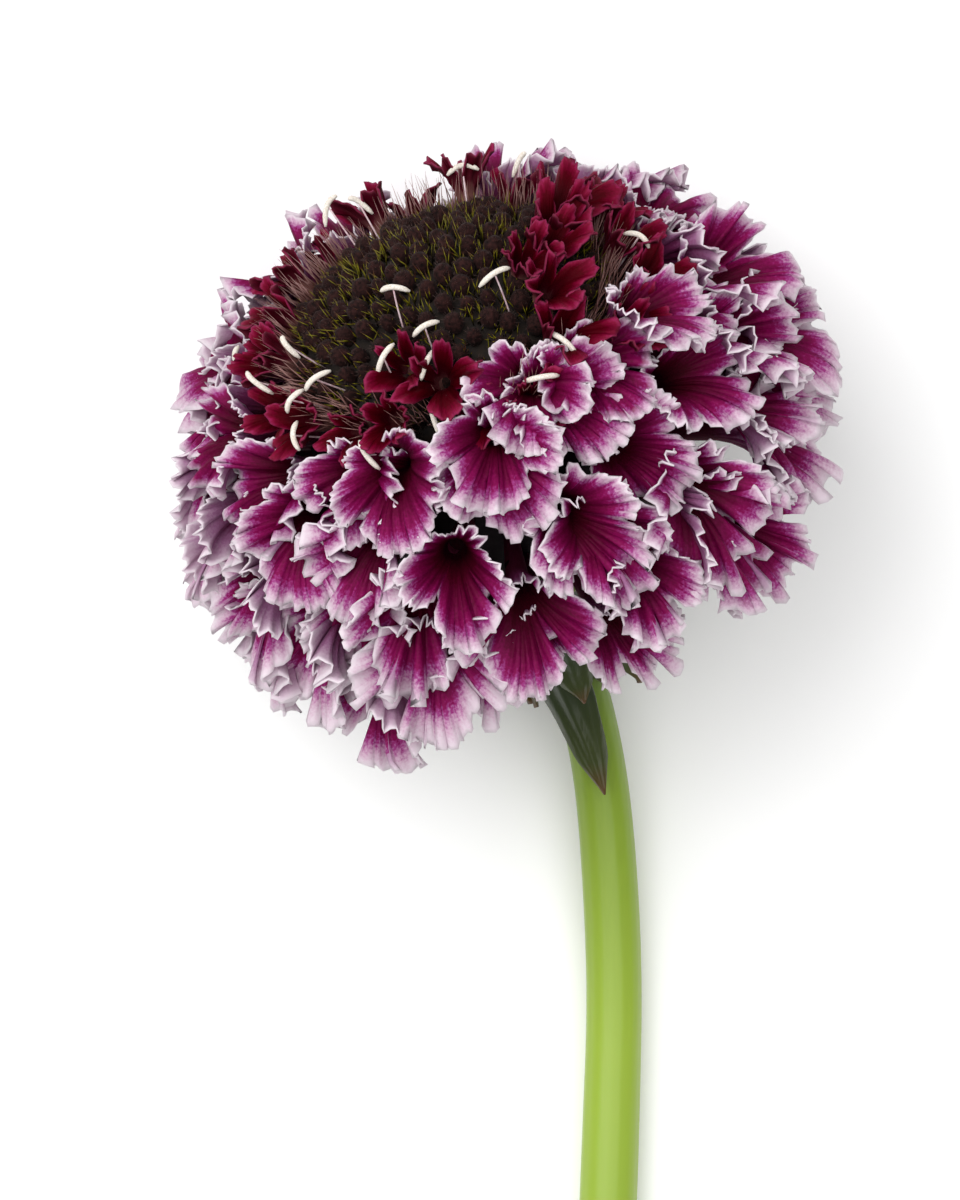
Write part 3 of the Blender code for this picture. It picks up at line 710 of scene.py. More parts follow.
@dataclass
class RayFlorets:
    """The big ruffled florets, a piece for each row, and the receptacle that bears them."""

    head: Head
    form: Corolla = field(default_factory=Corolla)
    # A row is its angle from the head's axis in degrees, its count, its reach in mm and the
    # share of a step that it is turned.
    rows: tuple[tuple[float, int, float, float], ...] = (
        (57.5, 18, 9.8, 0.3), (68, 17, 11.2, 0.0), (78, 17, 12.0, 0.5), (88, 16, 12.2, 0.75),
        (97, 14, 11.8, 0.0))
    # The skirt hangs lower on this side, by so much at the last row.
    low_side: float = math.radians(198)
    droop: float = math.radians(6)
    # The first row leans in over the disc on the side where the maroon florets are sparse.
    close_side: float = math.radians(276)
    closing: float = math.radians(9.5)
    throat_radius: float = 22.6 * MM
    foot_radius: float = 16.6 * MM
    core_radius: float = 18.0 * MM
    # How much wider each row's white edges are, as a share of the reach.
    edge_width: tuple[float, ...] = (-0.1, -0.03, 0.03, 0.07, 0.1)
    # On these sides the white edges are narrower and the petals darker; the side at 303 degrees is painted
    # shade on the lower right, away from the key light. Each is the angle in degrees, how much narrower and
    # the first row that it holds for.
    narrow_edge_and_shade_sides: tuple[tuple[float, float, int], ...] = ((45, 0.07, 0), (303, 0.13, 2))
    # Sides where the florets reach further or less far: their angle in degrees, how wide they
    # are and the share of the reach that is added, and the first row that it holds for.
    uneven: tuple[tuple[float, float, float, int], ...] = (
        (342, 16, 0.12, 1), (322, 10, -0.2, 1), (303, 8, 0.1, 2), (286, 7, -0.1, 2),
        (267, 9, -0.42, 3), (200, 16, 0.04, 1), (30, 16, -0.05, 1))
    # How much further each row flares, in degrees.
    opening: tuple[float, ...] = (6.0, 1.0, -3.0, -7.0, -9.0)
    # Beyond this distance from the head's middle the tips bend in by this share.
    limit: float = 33.4 * MM
    bend_in: float = 0.65
    # Single florets of the first row that lean over the disc's near rim, as angle round the
    # axis and angle from it in degrees.
    leaning: tuple[Pair, ...] = ((288, 43), (271, 49), (240, 52))
    # How far a floret strays: its angle from the axis, its step round it, and in degrees its
    # nod, its swing, its roll and its flare.
    polar_stray: float = 5.0
    step_stray: float = 0.18
    nod: float = 9.0
    swing: float = 10.0
    roll: float = 30.0
    flare_stray: float = 13.0
    # Then how far its throat strays outwards, in millimetres, its size and its edge.
    throat_stray: float = 1.6
    size_share: Pair = (0.86, 1.12)
    tone_stray: float = 0.07
    # Petals that would pass through the surface are pressed flat on it, in low waves.
    rest_height: float = 0.12 * MM
    rest_wave: float = 0.1 * MM
    wave_length: float = 0.9 * MM
    # The core's lowest and highest points on the head's axis, and its angles from it in degrees.
    core_ends: Pair = (-12.7 * MM, 13.3 * MM)
    core_polars: Pair = (42.0, 176.0)
    # It narrows towards the cup between these depths and turns from painted shade to green between those.
    neck_depths: Pair = (6.8 * MM, 12.7 * MM)
    neck_radii: Pair = (16.9 * MM, 8.0 * MM)
    shade_to_green_depths: Pair = (1.5 * MM, 6.5 * MM)
    ridges: int = 12
    ridge_height: float = 0.03

    def build(self) -> None:
        """Builds the receptacle and every row."""
        skin = PetalSkin().build()
        for row in range(len(self.rows)):
            self.build_row(row, skin)
        self.build_receptacle()

    def build_row(self, row: int, skin: bpy.types.Material) -> None:
        """Builds one row.

        Args:
            row: its number, from the disc outwards.
            skin: the petals' finish.
        """
        degrees, count, size, phase = self.rows[row]
        rng = random.Random(40 + row)
        sheet = Sheet()
        spots = []
        for index in range(count):
            polar = math.radians(degrees + stray(rng, self.polar_stray))
            azimuth = 2 * math.pi * (index + phase + stray(rng, self.step_stray)) / count
            polar += self.droop * (0.3 + 0.7 * row / 4) * math.cos(azimuth - self.low_side)
            if row == 0:
                polar -= self.closing * max(0.0, math.cos(azimuth - self.close_side))
            spots.append((azimuth, polar))
        if row == 0:
            spots.extend((math.radians(turned), math.radians(leaned)) for turned, leaned in self.leaning)
        for azimuth, polar in spots:
            rooted = self.head.place(polar, azimuth, 0.0)[0]
            nod = math.radians(stray(rng, self.nod))
            swing = math.radians(stray(rng, self.swing)) / math.sin(polar)
            place = self.head.place(polar + nod, azimuth + swing, math.radians(stray(rng, self.roll)))
            throat = rooted * (self.throat_radius + stray(rng, self.throat_stray) * MM)
            foot = rooted * self.foot_radius
            open_out = math.radians(self.opening[row] + stray(rng, self.flare_stray))
            reach = size * MM * rng.uniform(*self.size_share) * self.reach_share(row, math.degrees(azimuth))
            grown = self.form.grow(place, throat, foot, reach, open_out, rng)
            tone = self.edge_width[row] + stray(rng, self.tone_stray)
            # Narrower white edges on the sides listed; on the lower right side this is painted shade.
            for side, less, first in self.narrow_edge_and_shade_sides:
                if row >= first:
                    tone -= less * max(0.0, math.cos(azimuth - math.radians(side))) ** 3
            grown["reach"] = np.clip(grown["reach"] + tone * grown["reach"], 0, 1)
            self.add(sheet, grown)
        nodes = (Node.RAYS,) if row == 0 else ()
        sheet.build(f"ray_row_{row + 1}", skin, Slot.RAY, nodes)

    def reach_share(self, row: int, degrees: float) -> float:
        """How far a floret reaches beside the others of its row.

        Args:
            row: the row's number.
            degrees: angle round the head's axis.

        Returns:
            Its share, near one.
        """
        share = 1.0
        for side, width, more, first in self.uneven:
            away = (degrees - side + 180) % 360 - 180
            if row >= first:
                share += more * math.exp(-(away / width) ** 2)
        return share

    def add(self, sheet: Sheet, grown: Grown) -> None:
        """Places a grown floret, pressed flat where it would pass through the surface."""
        points = grown.pop("points")
        away = np.linalg.norm(points, axis=-1, keepdims=True)
        points = points * (1 - self.bend_in * np.maximum(0.0, away - self.limit) / away)
        points = self.head.to_world(points)
        low = self.rest_height + self.rest_wave * np.abs(np.sin(points[:, 0] / self.wave_length))
        points[:, 2] = np.maximum(points[:, 2], low)
        sheet.add(points, grown.pop("faces"), **grown)

    def build_receptacle(self) -> None:
        """Builds the ball that the florets are rooted in."""
        sides = 72
        polars = np.radians(np.linspace(*self.core_polars, 40))[:, None]
        ridges = np.abs(np.sin(turns(sides) * self.ridges + polars * 1.5))
        radius = self.core_radius * (1 + self.ridge_height * ridges)
        flat = circle(sides) * (np.sin(polars) * radius)[..., None]
        height = np.maximum((np.cos(polars) * radius)[..., None], self.core_ends[0])
        widest = np.interp(-height, self.neck_depths, self.neck_radii)
        flat = flat * np.minimum(1.0, widest / np.linalg.norm(flat, axis=-1, keepdims=True))
        grid = np.concatenate([flat, height], axis=-1)[::-1]
        points, faces = close(grid, np.array([[0, 0, end] for end in self.core_ends]))
        # Painted shade: it is darkened where it sits among the florets, and green where it shows above the
        # cup.
        levels = np.interp(-grid[..., 2], self.shade_to_green_depths, (0, 1)).ravel()
        sheet = Sheet()
        sheet.add(self.head.to_world(points), faces, reach=np.append(levels, [1.0, 0.0]))
        stops = ((0.0, "#12030a"), (0.35, "#2c1016"), (0.65, "#3b4218"), (1.0, "#66752c"))
        skin = GradedSkin("receptacle skin", stops, 0.9 * MM, roughness=0.65, specular=0.2).build()
        sheet.build("receptacle", skin, Slot.RAY, (Node.RAYS,))


@dataclass
class InnerFlorets:
    """The small maroon florets round the disc."""

    head: Head
    count: int = 24
    polar: float = math.radians(47)
    bare_side: Pair = (math.radians(246), math.radians(256))
    # Florets that lean in over the disc: angle round the axis and angle from it, in degrees.
    leaning: tuple[Pair, ...] = (
        (243, 31), (258, 36), (328, 22), (342, 26), (358, 28), (314, 30), (18, 33), (304, 38))
    throat_sphere: float = 23.2 * MM
    foot_sphere: float = 19.6 * MM
    reach: float = 5.4 * MM
    # The leaning ones are rooted further out by so many degrees and reach further.
    rooted_out: float = 6.0
    leaning_share: float = 1.2
    # How far a floret strays: in degrees, in steps round the ring, in degrees again, in
    # millimetres outwards, in degrees of flare and in size.
    roll: float = 40.0
    step_stray: float = 0.3
    polar_range: Pair = (-4.5, 3.5)
    throat_range: Pair = (-0.8, 1.2)
    flare_range: Pair = (-14.0, 12.0)
    size_share: Pair = (0.85, 1.15)
    rim_highlight_share: float = 0.02
    form: Corolla = Corolla(
        notches=(-36.0, 36.0, 108.0, 180.0, 252.0), inner_lobes=0.7, notch_depth=0.82, notch_width=2.0,
        flare_middle=math.radians(48), flare_swing=math.radians(18), flare_start=math.radians(10),
        ruffles=11, ruffle_height=0.1, crinkles=27, crinkle_height=0.03, teeth=34, tooth_depth=0.08,
        thickness=0.2 * MM, throat_radius=0.8 * MM, tube_length=4.0 * MM, around=90, outwards=9)
    # Maroon petals drink the light: a red that is nearly black, with hardly any gloss.
    skin: PetalSkin = PetalSkin(
        name="maroon corolla skin",
        face=((0.0, "#5e2a2e"), (0.16, "#3e0310"), (0.4, "#350006"), (0.75, "#4c000e"), (0.93, "#76042c"),
              (1.0, "#8c1648")),
        back=((0.0, "#7c534e"), (0.35, "#4c1420"), (0.7, "#3c0410"), (1.0, "#560720")),
        streaks=0.3, speckle=0.16, roughness=0.42, specular=0.03, see_through=0.08)

    def build(self) -> None:
        """Builds the ring of florets."""
        rng = random.Random(7)
        sheet = Sheet()
        for azimuth, polar, rooted in self.spots(rng):
            place = self.head.place(polar, azimuth, math.radians(stray(rng, self.roll)))
            throat = place[0] * (self.throat_sphere + rng.uniform(*self.throat_range) * MM)
            foot = self.head.place(rooted, azimuth, 0.0)[0] * self.foot_sphere
            reach = self.reach * rng.uniform(*self.size_share)
            if rooted > polar:
                reach *= self.leaning_share
            open_out = math.radians(rng.uniform(*self.flare_range))
            grown = self.form.grow(place, throat, foot, reach, open_out, rng)
            # The maroon florets keep only a trace of the painted rim highlight.
            grown["edge"] *= self.rim_highlight_share
            sheet.add(self.head.to_world(grown.pop("points")), grown.pop("faces"), **grown)
        sheet.build("inner_corollas", self.skin.build(), Slot.INNER, (Node.INNER,))

    def spots(self, rng: random.Random) -> list[Triple]:
        """Where the florets stand.

        Args:
            rng: source of the unevenness.

        Returns:
            For each floret its angle round the axis, its angle from it and the root's.
        """
        spots = []
        for index in range(self.count):
            azimuth = 2 * math.pi * (index + stray(rng, self.step_stray)) / self.count
            polar = self.polar + math.radians(rng.uniform(*self.polar_range))
            if not self.bare_side[0] < azimuth < self.bare_side[1]:
                spots.append((azimuth, polar, polar))
        for turned, leaned in self.leaning:
            spots.append(tuple(math.radians(a) for a in (turned, leaned, leaned + self.rooted_out)))
        return spots


@dataclass
class Stamens:
    """Cream anthers on thin filaments, where the photograph shows them."""

    head: Head
    # Where an anther shows in the photograph, in its pixels, and the way it points in degrees.
    anthers: tuple[Triple, ...] = (
        (327, 205, 70), (357, 200, 150), (462, 165, 10), (520, 158, 60), (637, 242, 150),
        (395, 296, 0), (426, 335, 30), (386, 365, 62), (494, 283, 32), (428, 371, 66),
        (290, 350, 128), (318, 385, 38), (295, 405, 55), (258, 385, 140), (237, 360, 100),
        (562, 350, 140), (540, 385, 10), (437, 430, 110), (370, 460, 125), (298, 440, 95))
    length: float = 3.2 * MM
    lengths: Pair = (0.78, 1.05)
    radius: float = 0.27 * MM
    filament_radius: float = 0.09 * MM
    sphere: float = 27.2 * MM
    foot_sphere: float = 21.0 * MM
    photo_scale: float = 0.096 * MM
    photo_middle: Pair = (480.0, 600.0)
    # A foot stands at least the first angle from the head's axis, and at most the second
    # further out than its anther.
    foot_polar: float = math.radians(37)
    foot_reach: float = math.radians(7)
    # An anther sags at its ends by this share of its length.
    sag: float = 0.22
    # A filament bows out by so much and ends so far under its anther's middle.
    bow: float = 0.8 * MM
    entry: float = 0.15 * MM

    def spot(self, column: float, row: float) -> Array:
        """The place on the stamens' sphere that the camera sees at a pixel.

        Args:
            column: the pixel's column.
            row: its row.

        Returns:
            The place in the head's frame.
        """
        pixels = np.array([column - self.photo_middle[0], self.photo_middle[1] - row])
        flat = np.array(PHOTO_CENTRE) + pixels * self.photo_scale - self.head.centre[:2]
        beyond = max(0.0, self.sphere**2 - float(flat @ flat))
        return self.head.from_world(self.head.centre + np.array([*flat, math.sqrt(beyond)]))

    def build(self) -> None:
        """Builds the anthers and their filaments."""
        rng = random.Random(17)
        clubs, threads = Sheet(), Sheet()
        for column, row, tilt in self.anthers:
            middle = self.spot(column, row)
            angle = math.radians(tilt)
            along = unit(self.head.axes @ np.array([math.cos(angle), math.sin(angle), stray(rng, 0.25)]))
            outward = unit(middle)
            steps = np.linspace(-1, 1, 11)[:, None]
            half = self.length * rng.uniform(*self.lengths) / 2
            path = middle + along * steps * half - outward * self.sag * self.length * steps**2
            swell = self.radius * np.clip(1.06 - np.abs(steps[:, 0]) ** 7, 0.45, 1.0)
            clubs.add(*tube(self.head.to_world(path), swell, 10))
            foot, tip = self.foot(middle), middle - outward * self.entry
            mid = (foot + middle) / 2 + outward * self.bow
            t = np.linspace(0, 1, 9)[:, None]
            thread = foot * (1 - t) ** 2 + 2 * mid * t * (1 - t) + tip * t**2
            threads.add(*tube(self.head.to_world(thread), np.full(9, self.filament_radius), 6))
        # Pollen gives a dry, powdery cream.
        pollen = PlainSkin("pollen-dusted anther", "#cfc2b2", "#f4efe8", 0.16 * MM, roughness=0.75,
                           bump=0.5).build()
        clubs.build("anthers", pollen, Slot.INNER)
        # The filaments are smooth pale pink threads.
        silk = PlainSkin("filament skin", "#b9939c", "#e6d3d6", 0.5 * MM, roughness=0.4).build()
        threads.build("filaments", silk, Slot.INNER)

    def foot(self, middle: Array) -> Array:
        """Where the filament of an anther comes out of its floret, nearer the ring's middle."""
        outward = unit(middle)
        polar = math.acos(outward[2])
        azimuth = math.atan2(outward[1], outward[0])
        rooted = min(max(polar, self.foot_polar), polar + self.foot_reach)
        return self.head.place(rooted, azimuth, 0.0)[0] * self.foot_sphere


@dataclass
class Disc:
    """The dome of hairy buds between bristle tufts, with a rim of rusty bristles."""

    head: Head
    radius: float = 21.8 * MM
    buds: int = 142
    last_polar: float = math.radians(41.5)
    bud_radius: float = 1.0 * MM
    bud_height: float = 1.1 * MM
    tufts: int = 430
    tuft_blades: int = 4
    tuft_length: float = 2.7 * MM
    rim_bristles: int = 900
    rim_length: float = 5.4 * MM
    # Radii and heights of the dome's foot.
    foot_radii: Pair = (13.5 * MM, 15.6 * MM)
    foot_heights: Pair = (9.0 * MM, 12.0 * MM)
    # A bud from its root to its tip: height and radius as shares of its own.
    bud_lifts: tuple[float, ...] = (-0.675, 0.0, 0.6075, 1.08, 1.377, 1.512)
    bud_widths: tuple[float, ...] = (0.55, 0.92, 1.0, 0.84, 0.52, 0.16)
    bud_share: Pair = (0.74, 1.14)
    hairs: int = 30
    hair_lengths: Pair = (0.3, 0.55)
    hair_radius: float = 0.028 * MM
    tuft_slant: float = 0.34
    tuft_share: Pair = (0.45, 1.1)
    tuft_radius: float = 0.08 * MM
    rim_polars: Pair = (41.0, 46.5)
    rim_share: Pair = (0.7, 1.15)
    rim_radius: float = 0.085 * MM
    # A bristle bends by this share of its length, and its radius falls like this.
    blade_bend: float = 0.16
    blade_radii: Triple = (1.0, 0.75, 0.12)

    def build(self) -> None:
        """Builds the dome, the buds and both sorts of bristle."""
        self.build_dome()
        self.build_buds()
        self.build_tufts()
        self.build_rim()

    def build_dome(self) -> None:
        """Builds the skin between the buds, painted dark as shade."""
        polars = np.radians(np.linspace(47, 2, 22))
        radii = np.append(self.foot_radii, np.sin(polars) * self.radius)
        heights = np.append(self.foot_heights, np.cos(polars) * self.radius)
        ends = np.array([[0, 0, heights[0]], [0, 0, self.radius]])
        points, faces = close(lathe(radii, heights, 64), ends)
        sheet = Sheet()
        sheet.add(self.head.to_world(points), faces)
        # Painted shade: the skin between the buds is darkened to the near black of the shade in the gaps.
        skin = PlainSkin("disc skin", "#0c0604", "#22160c", 0.8 * MM, roughness=0.85).build()
        sheet.build("disc_dome", skin, Slot.DISC, (Node.DISC,))

    def build_buds(self) -> None:
        """Builds the buds, each a knob with lobes drawn to its tip, and their fuzz."""
        rng = random.Random(23)
        knobs, fuzz = Sheet(), Sheet()
        around = turns(12)[:, None]
        lobes = (1 + 0.08 * np.cos(5 * around))[None]
        for index in range(self.buds):
            polar = self.polar_of(index, self.buds, self.last_polar) + math.radians(stray(rng, 0.8))
            azimuth = index * GOLDEN_ANGLE + math.radians(stray(rng, 1.2)) / math.sin(polar)
            out, down, side = self.head.place(polar, azimuth, rng.uniform(0, 6))
            radius = self.bud_radius * rng.uniform(*self.bud_share)
            base = out * (self.radius + rng.uniform(0.1, 0.7) * MM)
            lift = np.array(self.bud_lifts) * self.bud_height
            width = np.array(self.bud_widths) * radius
            spine = base + out * lift[:, None]
            ring = np.cos(around) * down + np.sin(around) * side
            tip = spine[-1] + out * 0.05 * MM
            points, faces = close(spine[:, None] + ring * lobes * width[:, None, None],
                                  np.stack([spine[0], tip]))
            knobs.add(self.head.to_world(points), faces)
            for _ in range(self.hairs):
                way = unit(np.array([rng.gauss(0, 1) for _ in range(3)]) + out * 1.1)
                root = spine[2] + way * radius * 0.93
                self.blade(fuzz, root, way, rng.uniform(*self.hair_lengths) * MM, self.hair_radius, rng)
        # Felted buds are dull and nearly black.
        felt = PlainSkin("hairy bud skin", "#0b0404", "#351c1a", 0.35 * MM, roughness=0.8, bump=0.7,
                         sheen=0.02, specular=0.1).build()
        knobs.build("disc_knobs", felt, Slot.DISC)
        # Their hair is a dusty grey-brown haze.
        hair = PlainSkin("bud hair", "#1f1110", "#5e4844", 0.6 * MM, roughness=0.6, specular=0.2).build()
        fuzz.build("bud_fuzz", hair, Slot.DISC)

    @staticmethod
    def polar_of(index: int, count: int, last: float) -> float:
        """Angle from the axis at which one of a count stands when they cover the dome evenly."""
        return math.acos(1 - (1 - math.cos(last)) * (index + 0.5) / count)

    def blade(self, sheet: Sheet, root: Array, way: Array, length: float, radius: float,
              rng: random.Random) -> None:
        """Adds one bristle, three-sided, bent and drawn to a point.

        Args:
            sheet: where it goes.
            root: its root in the head's frame.
            way: the way it grows.
            length: its length.
            radius: its radius at the root.
            rng: source of its bend.
        """
        way = unit(way)
        bend = np.array([stray(rng, self.blade_bend) for _ in range(3)]) * length
        path = np.stack([root, root + way * length * 0.5 + bend * 0.3, root + way * length + bend])
        points, faces = tube(self.head.to_world(path), radius * np.array(self.blade_radii), 3)
        sheet.add(points, faces, reach=per_point(np.array([0.0, 0.5, 1.0]), 3))

    def build_tufts(self) -> None:
        """Builds the yellow-green tufts that fill the spaces between the buds."""
        rng = random.Random(29)
        sheet = Sheet()
        for index in range(self.tufts):
            polar = self.polar_of(index, self.tufts, self.last_polar + 0.03)
            azimuth = index * GOLDEN_ANGLE * 1.003 + rng.uniform(0.5, 0.9)
            out, down, side = self.head.place(polar, azimuth, 0.0)
            for _ in range(self.tuft_blades):
                slant = down * rng.gauss(0, self.tuft_slant) + side * rng.gauss(0, self.tuft_slant)
                self.blade(sheet, out * self.radius + slant * 0.8 * MM, out + slant,
                           self.tuft_length * rng.uniform(*self.tuft_share), self.tuft_radius, rng)
        stops = ((0.0, "#120a04"), (0.4, "#453e0a"), (0.72, "#8a831a"), (0.88, "#5a3616"), (1.0, "#40190f"))
        # Fresh bristles are dark at the root and yellow-green, with brown points.
        skin = GradedSkin("green bristle", stops, 2.6 * MM, mottle=1.5, specular=0.2).build()
        sheet.build("disc_tufts", skin, Slot.DISC)

    def build_rim(self) -> None:
        """Builds the rusty bristles that stand round the disc's edge."""
        rng = random.Random(31)
        sheet = Sheet()
        for _ in range(self.rim_bristles):
            azimuth = rng.uniform(0, 2 * math.pi)
            polar = math.radians(rng.uniform(*self.rim_polars))
            out, down, side = self.head.place(polar, azimuth, 0.0)
            way = out + down * rng.gauss(-0.12, 0.14) + side * rng.gauss(0, 0.14)
            self.blade(sheet, out * (self.radius - 0.4 * MM), way,
                       self.rim_length * rng.uniform(*self.rim_share), self.rim_radius, rng)
        stops = ((0.0, "#2a1210"), (0.35, "#6b3f39"), (0.8, "#a87d78"), (1.0, "#7d5448"))
        # Dry bristles are a dusty rust, palest below their points.
        skin = GradedSkin("rusty bristle", stops, 0.6 * MM, mottle=0.4).build()
        sheet.build("rim_bristles", skin, Slot.DISC)


@dataclass
class Stem:
    """The bare stem, from under the cup to its slanted cut."""

    head: Head
    top: float = -17.2 * MM
    # Guide places of the centre line in the photograph's own layout, in millimetres.
    route: tuple[Triple, ...] = (
        (9.0, -5.7, 10.4), (11.0, -12.9, 7.5), (12.2, -20.0, 5.4), (13.0, -30.0, 3.8),
        (13.3, -40.0, 3.1), (13.0, -52.0, 2.9), (12.5, -65.0, 2.9), (11.9, -77.0, 2.9))
    layout_centre: Triple = (1.7, 14.7, 26.4)
    top_radius: float = 2.6 * MM
    end_radius: float = 2.9 * MM
    slant: float = math.radians(38)
    rings: int = 150
    sides: int = 56
    # The rings tilt towards the slanted cut over this last share of the length.
    cut_share: float = 0.07
    rest_height: float = 0.02 * MM

    def path(self, count: int) -> Array:
        """Places evenly spaced along the centre line.

        Args:
            count: how many.

        Returns:
            The places in the row frame.
        """
        shift = self.head.centre - np.array(self.layout_centre) * MM
        start = self.head.to_world(np.array([0.0, 0.0, self.top]))
        guides = [start + self.head.axes[2] * 6 * MM, start]
        guides += [np.array(place) * MM + shift for place in self.route]
        guides.append(2 * guides[-1] - guides[-2])
        t = np.linspace(0, 1, 12, endpoint=False)[:, None]
        runs = []
        for a, b, c, d in zip(guides, guides[1:], guides[2:], guides[3:]):
            runs.append(0.5 * (2 * b + (c - a) * t + (2 * a - 5 * b + 4 * c - d) * t**2
                               + (3 * b - a - 3 * c + d) * t**3))
        return walk(np.concatenate(runs + [guides[-2][None]]), count)

    def build(self) -> None:
        """Builds the ribbed stem with its slanted cut."""
        path = self.path(self.rings)
        share = np.linspace(0, 1, self.rings)
        radii = self.top_radius + (self.end_radius - self.top_radius) * share
        ahead, ring = rings_round(path, self.sides)
        angles = turns(self.sides)
        ribs = 1 + 0.006 * np.cos(9 * angles) + 0.004 * np.cos(17 * angles + 1.0)
        swell = 1 + 0.008 * np.sin(share * 19)
        grid = path[:, None] + ring * ((radii * swell)[:, None] * ribs)[..., None]
        tilt = (grid[-1] - path[-1])[:, 2] * math.tan(self.slant)
        fade = np.clip((share - 1 + self.cut_share) / self.cut_share, 0, 1) ** 2
        grid = grid - ahead[:, None] * (fade[:, None] * tilt)[..., None]
        grid[..., 2] = np.maximum(grid[..., 2], self.rest_height)
        sheet = Sheet()
        sheet.add(*close(grid, path[[0, -1]]), reach=per_point(share, self.sides))
        stops = ((0.0, "#3f4d06"), (0.1, "#5b7510"), (0.3, "#7f9a22"), (0.6, "#93ad33"), (1.0, "#8da832"))
        # A living stem is waxy yellow-green with fine streaks along it, lit a little from within; its top,
        # next to the head, is painted darker as shade.
        skin = GradedSkin("stem skin", stops, 0.5 * MM, stretch=(1.0, 0.08, 1.0), roughness=0.38,
                          bump=0.08, mottle=0.1, glow=0.25).build()
        sheet.build("stem_skin", skin, Slot.STEM, (Node.STEM,))


@dataclass
class Involucre:
    """The green cup under the head and its bracts, turned back beside the stem."""

    head: Head
    stem: Stem
    bracts: int = 9
    length: float = 26.5 * MM
    width: float = 6.2 * MM
    thickness: float = 0.5 * MM
    radius: float = 4.2 * MM
    row_gap: float = 1.3 * MM
    first_azimuth: float = math.radians(226)
    drift: float = math.radians(38)
    cup_top: float = -12.9 * MM
    # The cup from the head down: radii and depths below its top, in millimetres.
    cup_radii: tuple[float, ...] = (0.6, 6.6, 7.3, 7.4, 6.9, 5.8, 4.6, 3.6, 3.1, 0.6)
    cup_depths: tuple[float, ...] = (0.0, 0.0, 0.25, 0.9, 1.7, 2.6, 3.3, 3.8, 4.25, 4.3)
    path_top: float = -13.8 * MM
    path_length: float = 28.0 * MM
    # A bract from root to tip: places along it, its width there as a share and its extra
    # distance from the stem in millimetres.
    places: tuple[float, ...] = (0.0, 0.12, 0.35, 0.6, 0.85, 1.0)
    widths: tuple[float, ...] = (0.55, 0.8, 1.0, 0.85, 0.5, 0.04)
    gaps: tuple[float, ...] = (1.5, 1.4, 1.0, 0.5, 0.3, 0.5)
    groove_depth: float = 0.16 * MM
    wave_height: float = 0.25 * MM
    fold: float = 0.28
    # The other bracts are shorter by these shares and stray this far round the cup.
    other_share: Pair = (0.55, 0.7)
    other_drift: float = 6.0

    def build(self) -> None:
        """Builds the cup and its bracts as one piece."""
        sheet = Sheet()
        self.add_cup(sheet)
        rng = random.Random(3)
        path = self.path()
        for index in range(self.bracts):
            self.add_bract(sheet, index, path, rng)
        stops = ((0.0, "#161f03"), (0.6, "#222f06"), (0.86, "#323c09"), (0.96, "#4b3a10"), (1.0, "#5f3c22"))
        # A bract is dark and glossy, so its grooves show as bright lines; its tip has dried brown.
        skin = GradedSkin("glossy bract leaf", stops, 0.5 * MM, stretch=(1.0, 0.15, 0.6), roughness=0.3,
                          bump=0.3, mottle=0.06, specular=0.4).build()
        sheet.build("green_involucre", skin, Slot.BRACT, (Node.INVOLUCRE,))

    def path(self) -> Array:
        """The line that the bracts follow: down through the cup and along the stem."""
        start = self.head.to_world(np.array([[0.0, 0.0, self.path_top]]))
        return walk(np.concatenate([start, self.stem.path(160)]), 80, self.path_length)

    def add_cup(self, sheet: Sheet) -> None:
        """Adds the cup, turned round the head's axis."""
        sides = 48
        heights = self.cup_top - np.array(self.cup_depths[::-1]) * MM
        ribs = 1 + 0.02 * np.cos(9 * turns(sides))
        grid = lathe(np.array(self.cup_radii[::-1]) * MM, heights, sides, ribs)
        points, faces = close(grid, np.array([[0, 0, heights[0]], [0, 0, heights[-1]]]))
        sheet.add(self.head.to_world(points), faces, reach=0.1)

    def add_bract(self, sheet: Sheet, index: int, path: Array, rng: random.Random) -> None:
        """Adds one bract.

        Args:
            sheet: where it goes.
            index: its number round the cup; the first is the one that shows.
            path: the line that it follows.
            rng: source of the unevenness of the others.
        """
        azimuth = self.first_azimuth + 2 * math.pi * index / self.bracts
        reach = self.length * (1.0 if index == 0 else rng.uniform(*self.other_share))
        radius = self.radius + (self.row_gap if index % 2 else 0.0)
        drift = self.drift if index == 0 else math.radians(stray(rng, self.other_drift))
        rows, columns = 36, 17
        share = np.linspace(0, 1, rows)
        outline = np.interp(share, self.places, self.widths)
        spread = np.interp(share, self.places, self.gaps) * MM
        place = share * reach / self.path_length * (len(path) - 1)
        centre = np.stack([np.interp(place, np.arange(len(path)), path[:, i]) for i in range(3)], axis=1)
        ahead = unit(np.gradient(centre, axis=0))
        turn = (azimuth + drift * share)[:, None]
        spoke = np.cos(turn) * self.head.axes[0] + np.sin(turn) * self.head.axes[1]
        across = unit(np.cross(ahead, spoke))
        outward = unit(np.cross(across, ahead))
        side = np.linspace(-1, 1, columns)
        half = (self.width / 2 * outline)[:, None]
        grooves = self.groove_depth * np.cos(side * 3 * math.pi) * outline[:, None]
        fold = -self.fold * half * np.abs(side) ** 1.5
        wave = self.wave_height * np.sin(share * 17 + index)[:, None] * side**3
        lift = (radius + spread)[:, None] + grooves + fold + wave
        middle = centre[:, None] + across[:, None] * (half * side)[..., None]
        middle = middle + outward[:, None] * lift[..., None]
        thin = outward[:, None] * (self.thickness / 2 * (1 - 0.7 * side**2))[:, None]
        loop = np.concatenate([middle + thin, (middle - thin)[:, ::-1]], axis=1)
        points, faces = close(loop, loop[[0, -1]].mean(axis=1))
        # The loop runs clockwise, so its faces are turned over.
        sheet.add(points, [rows[:, ::-1] for rows in faces], reach=per_point(share, 2 * columns))


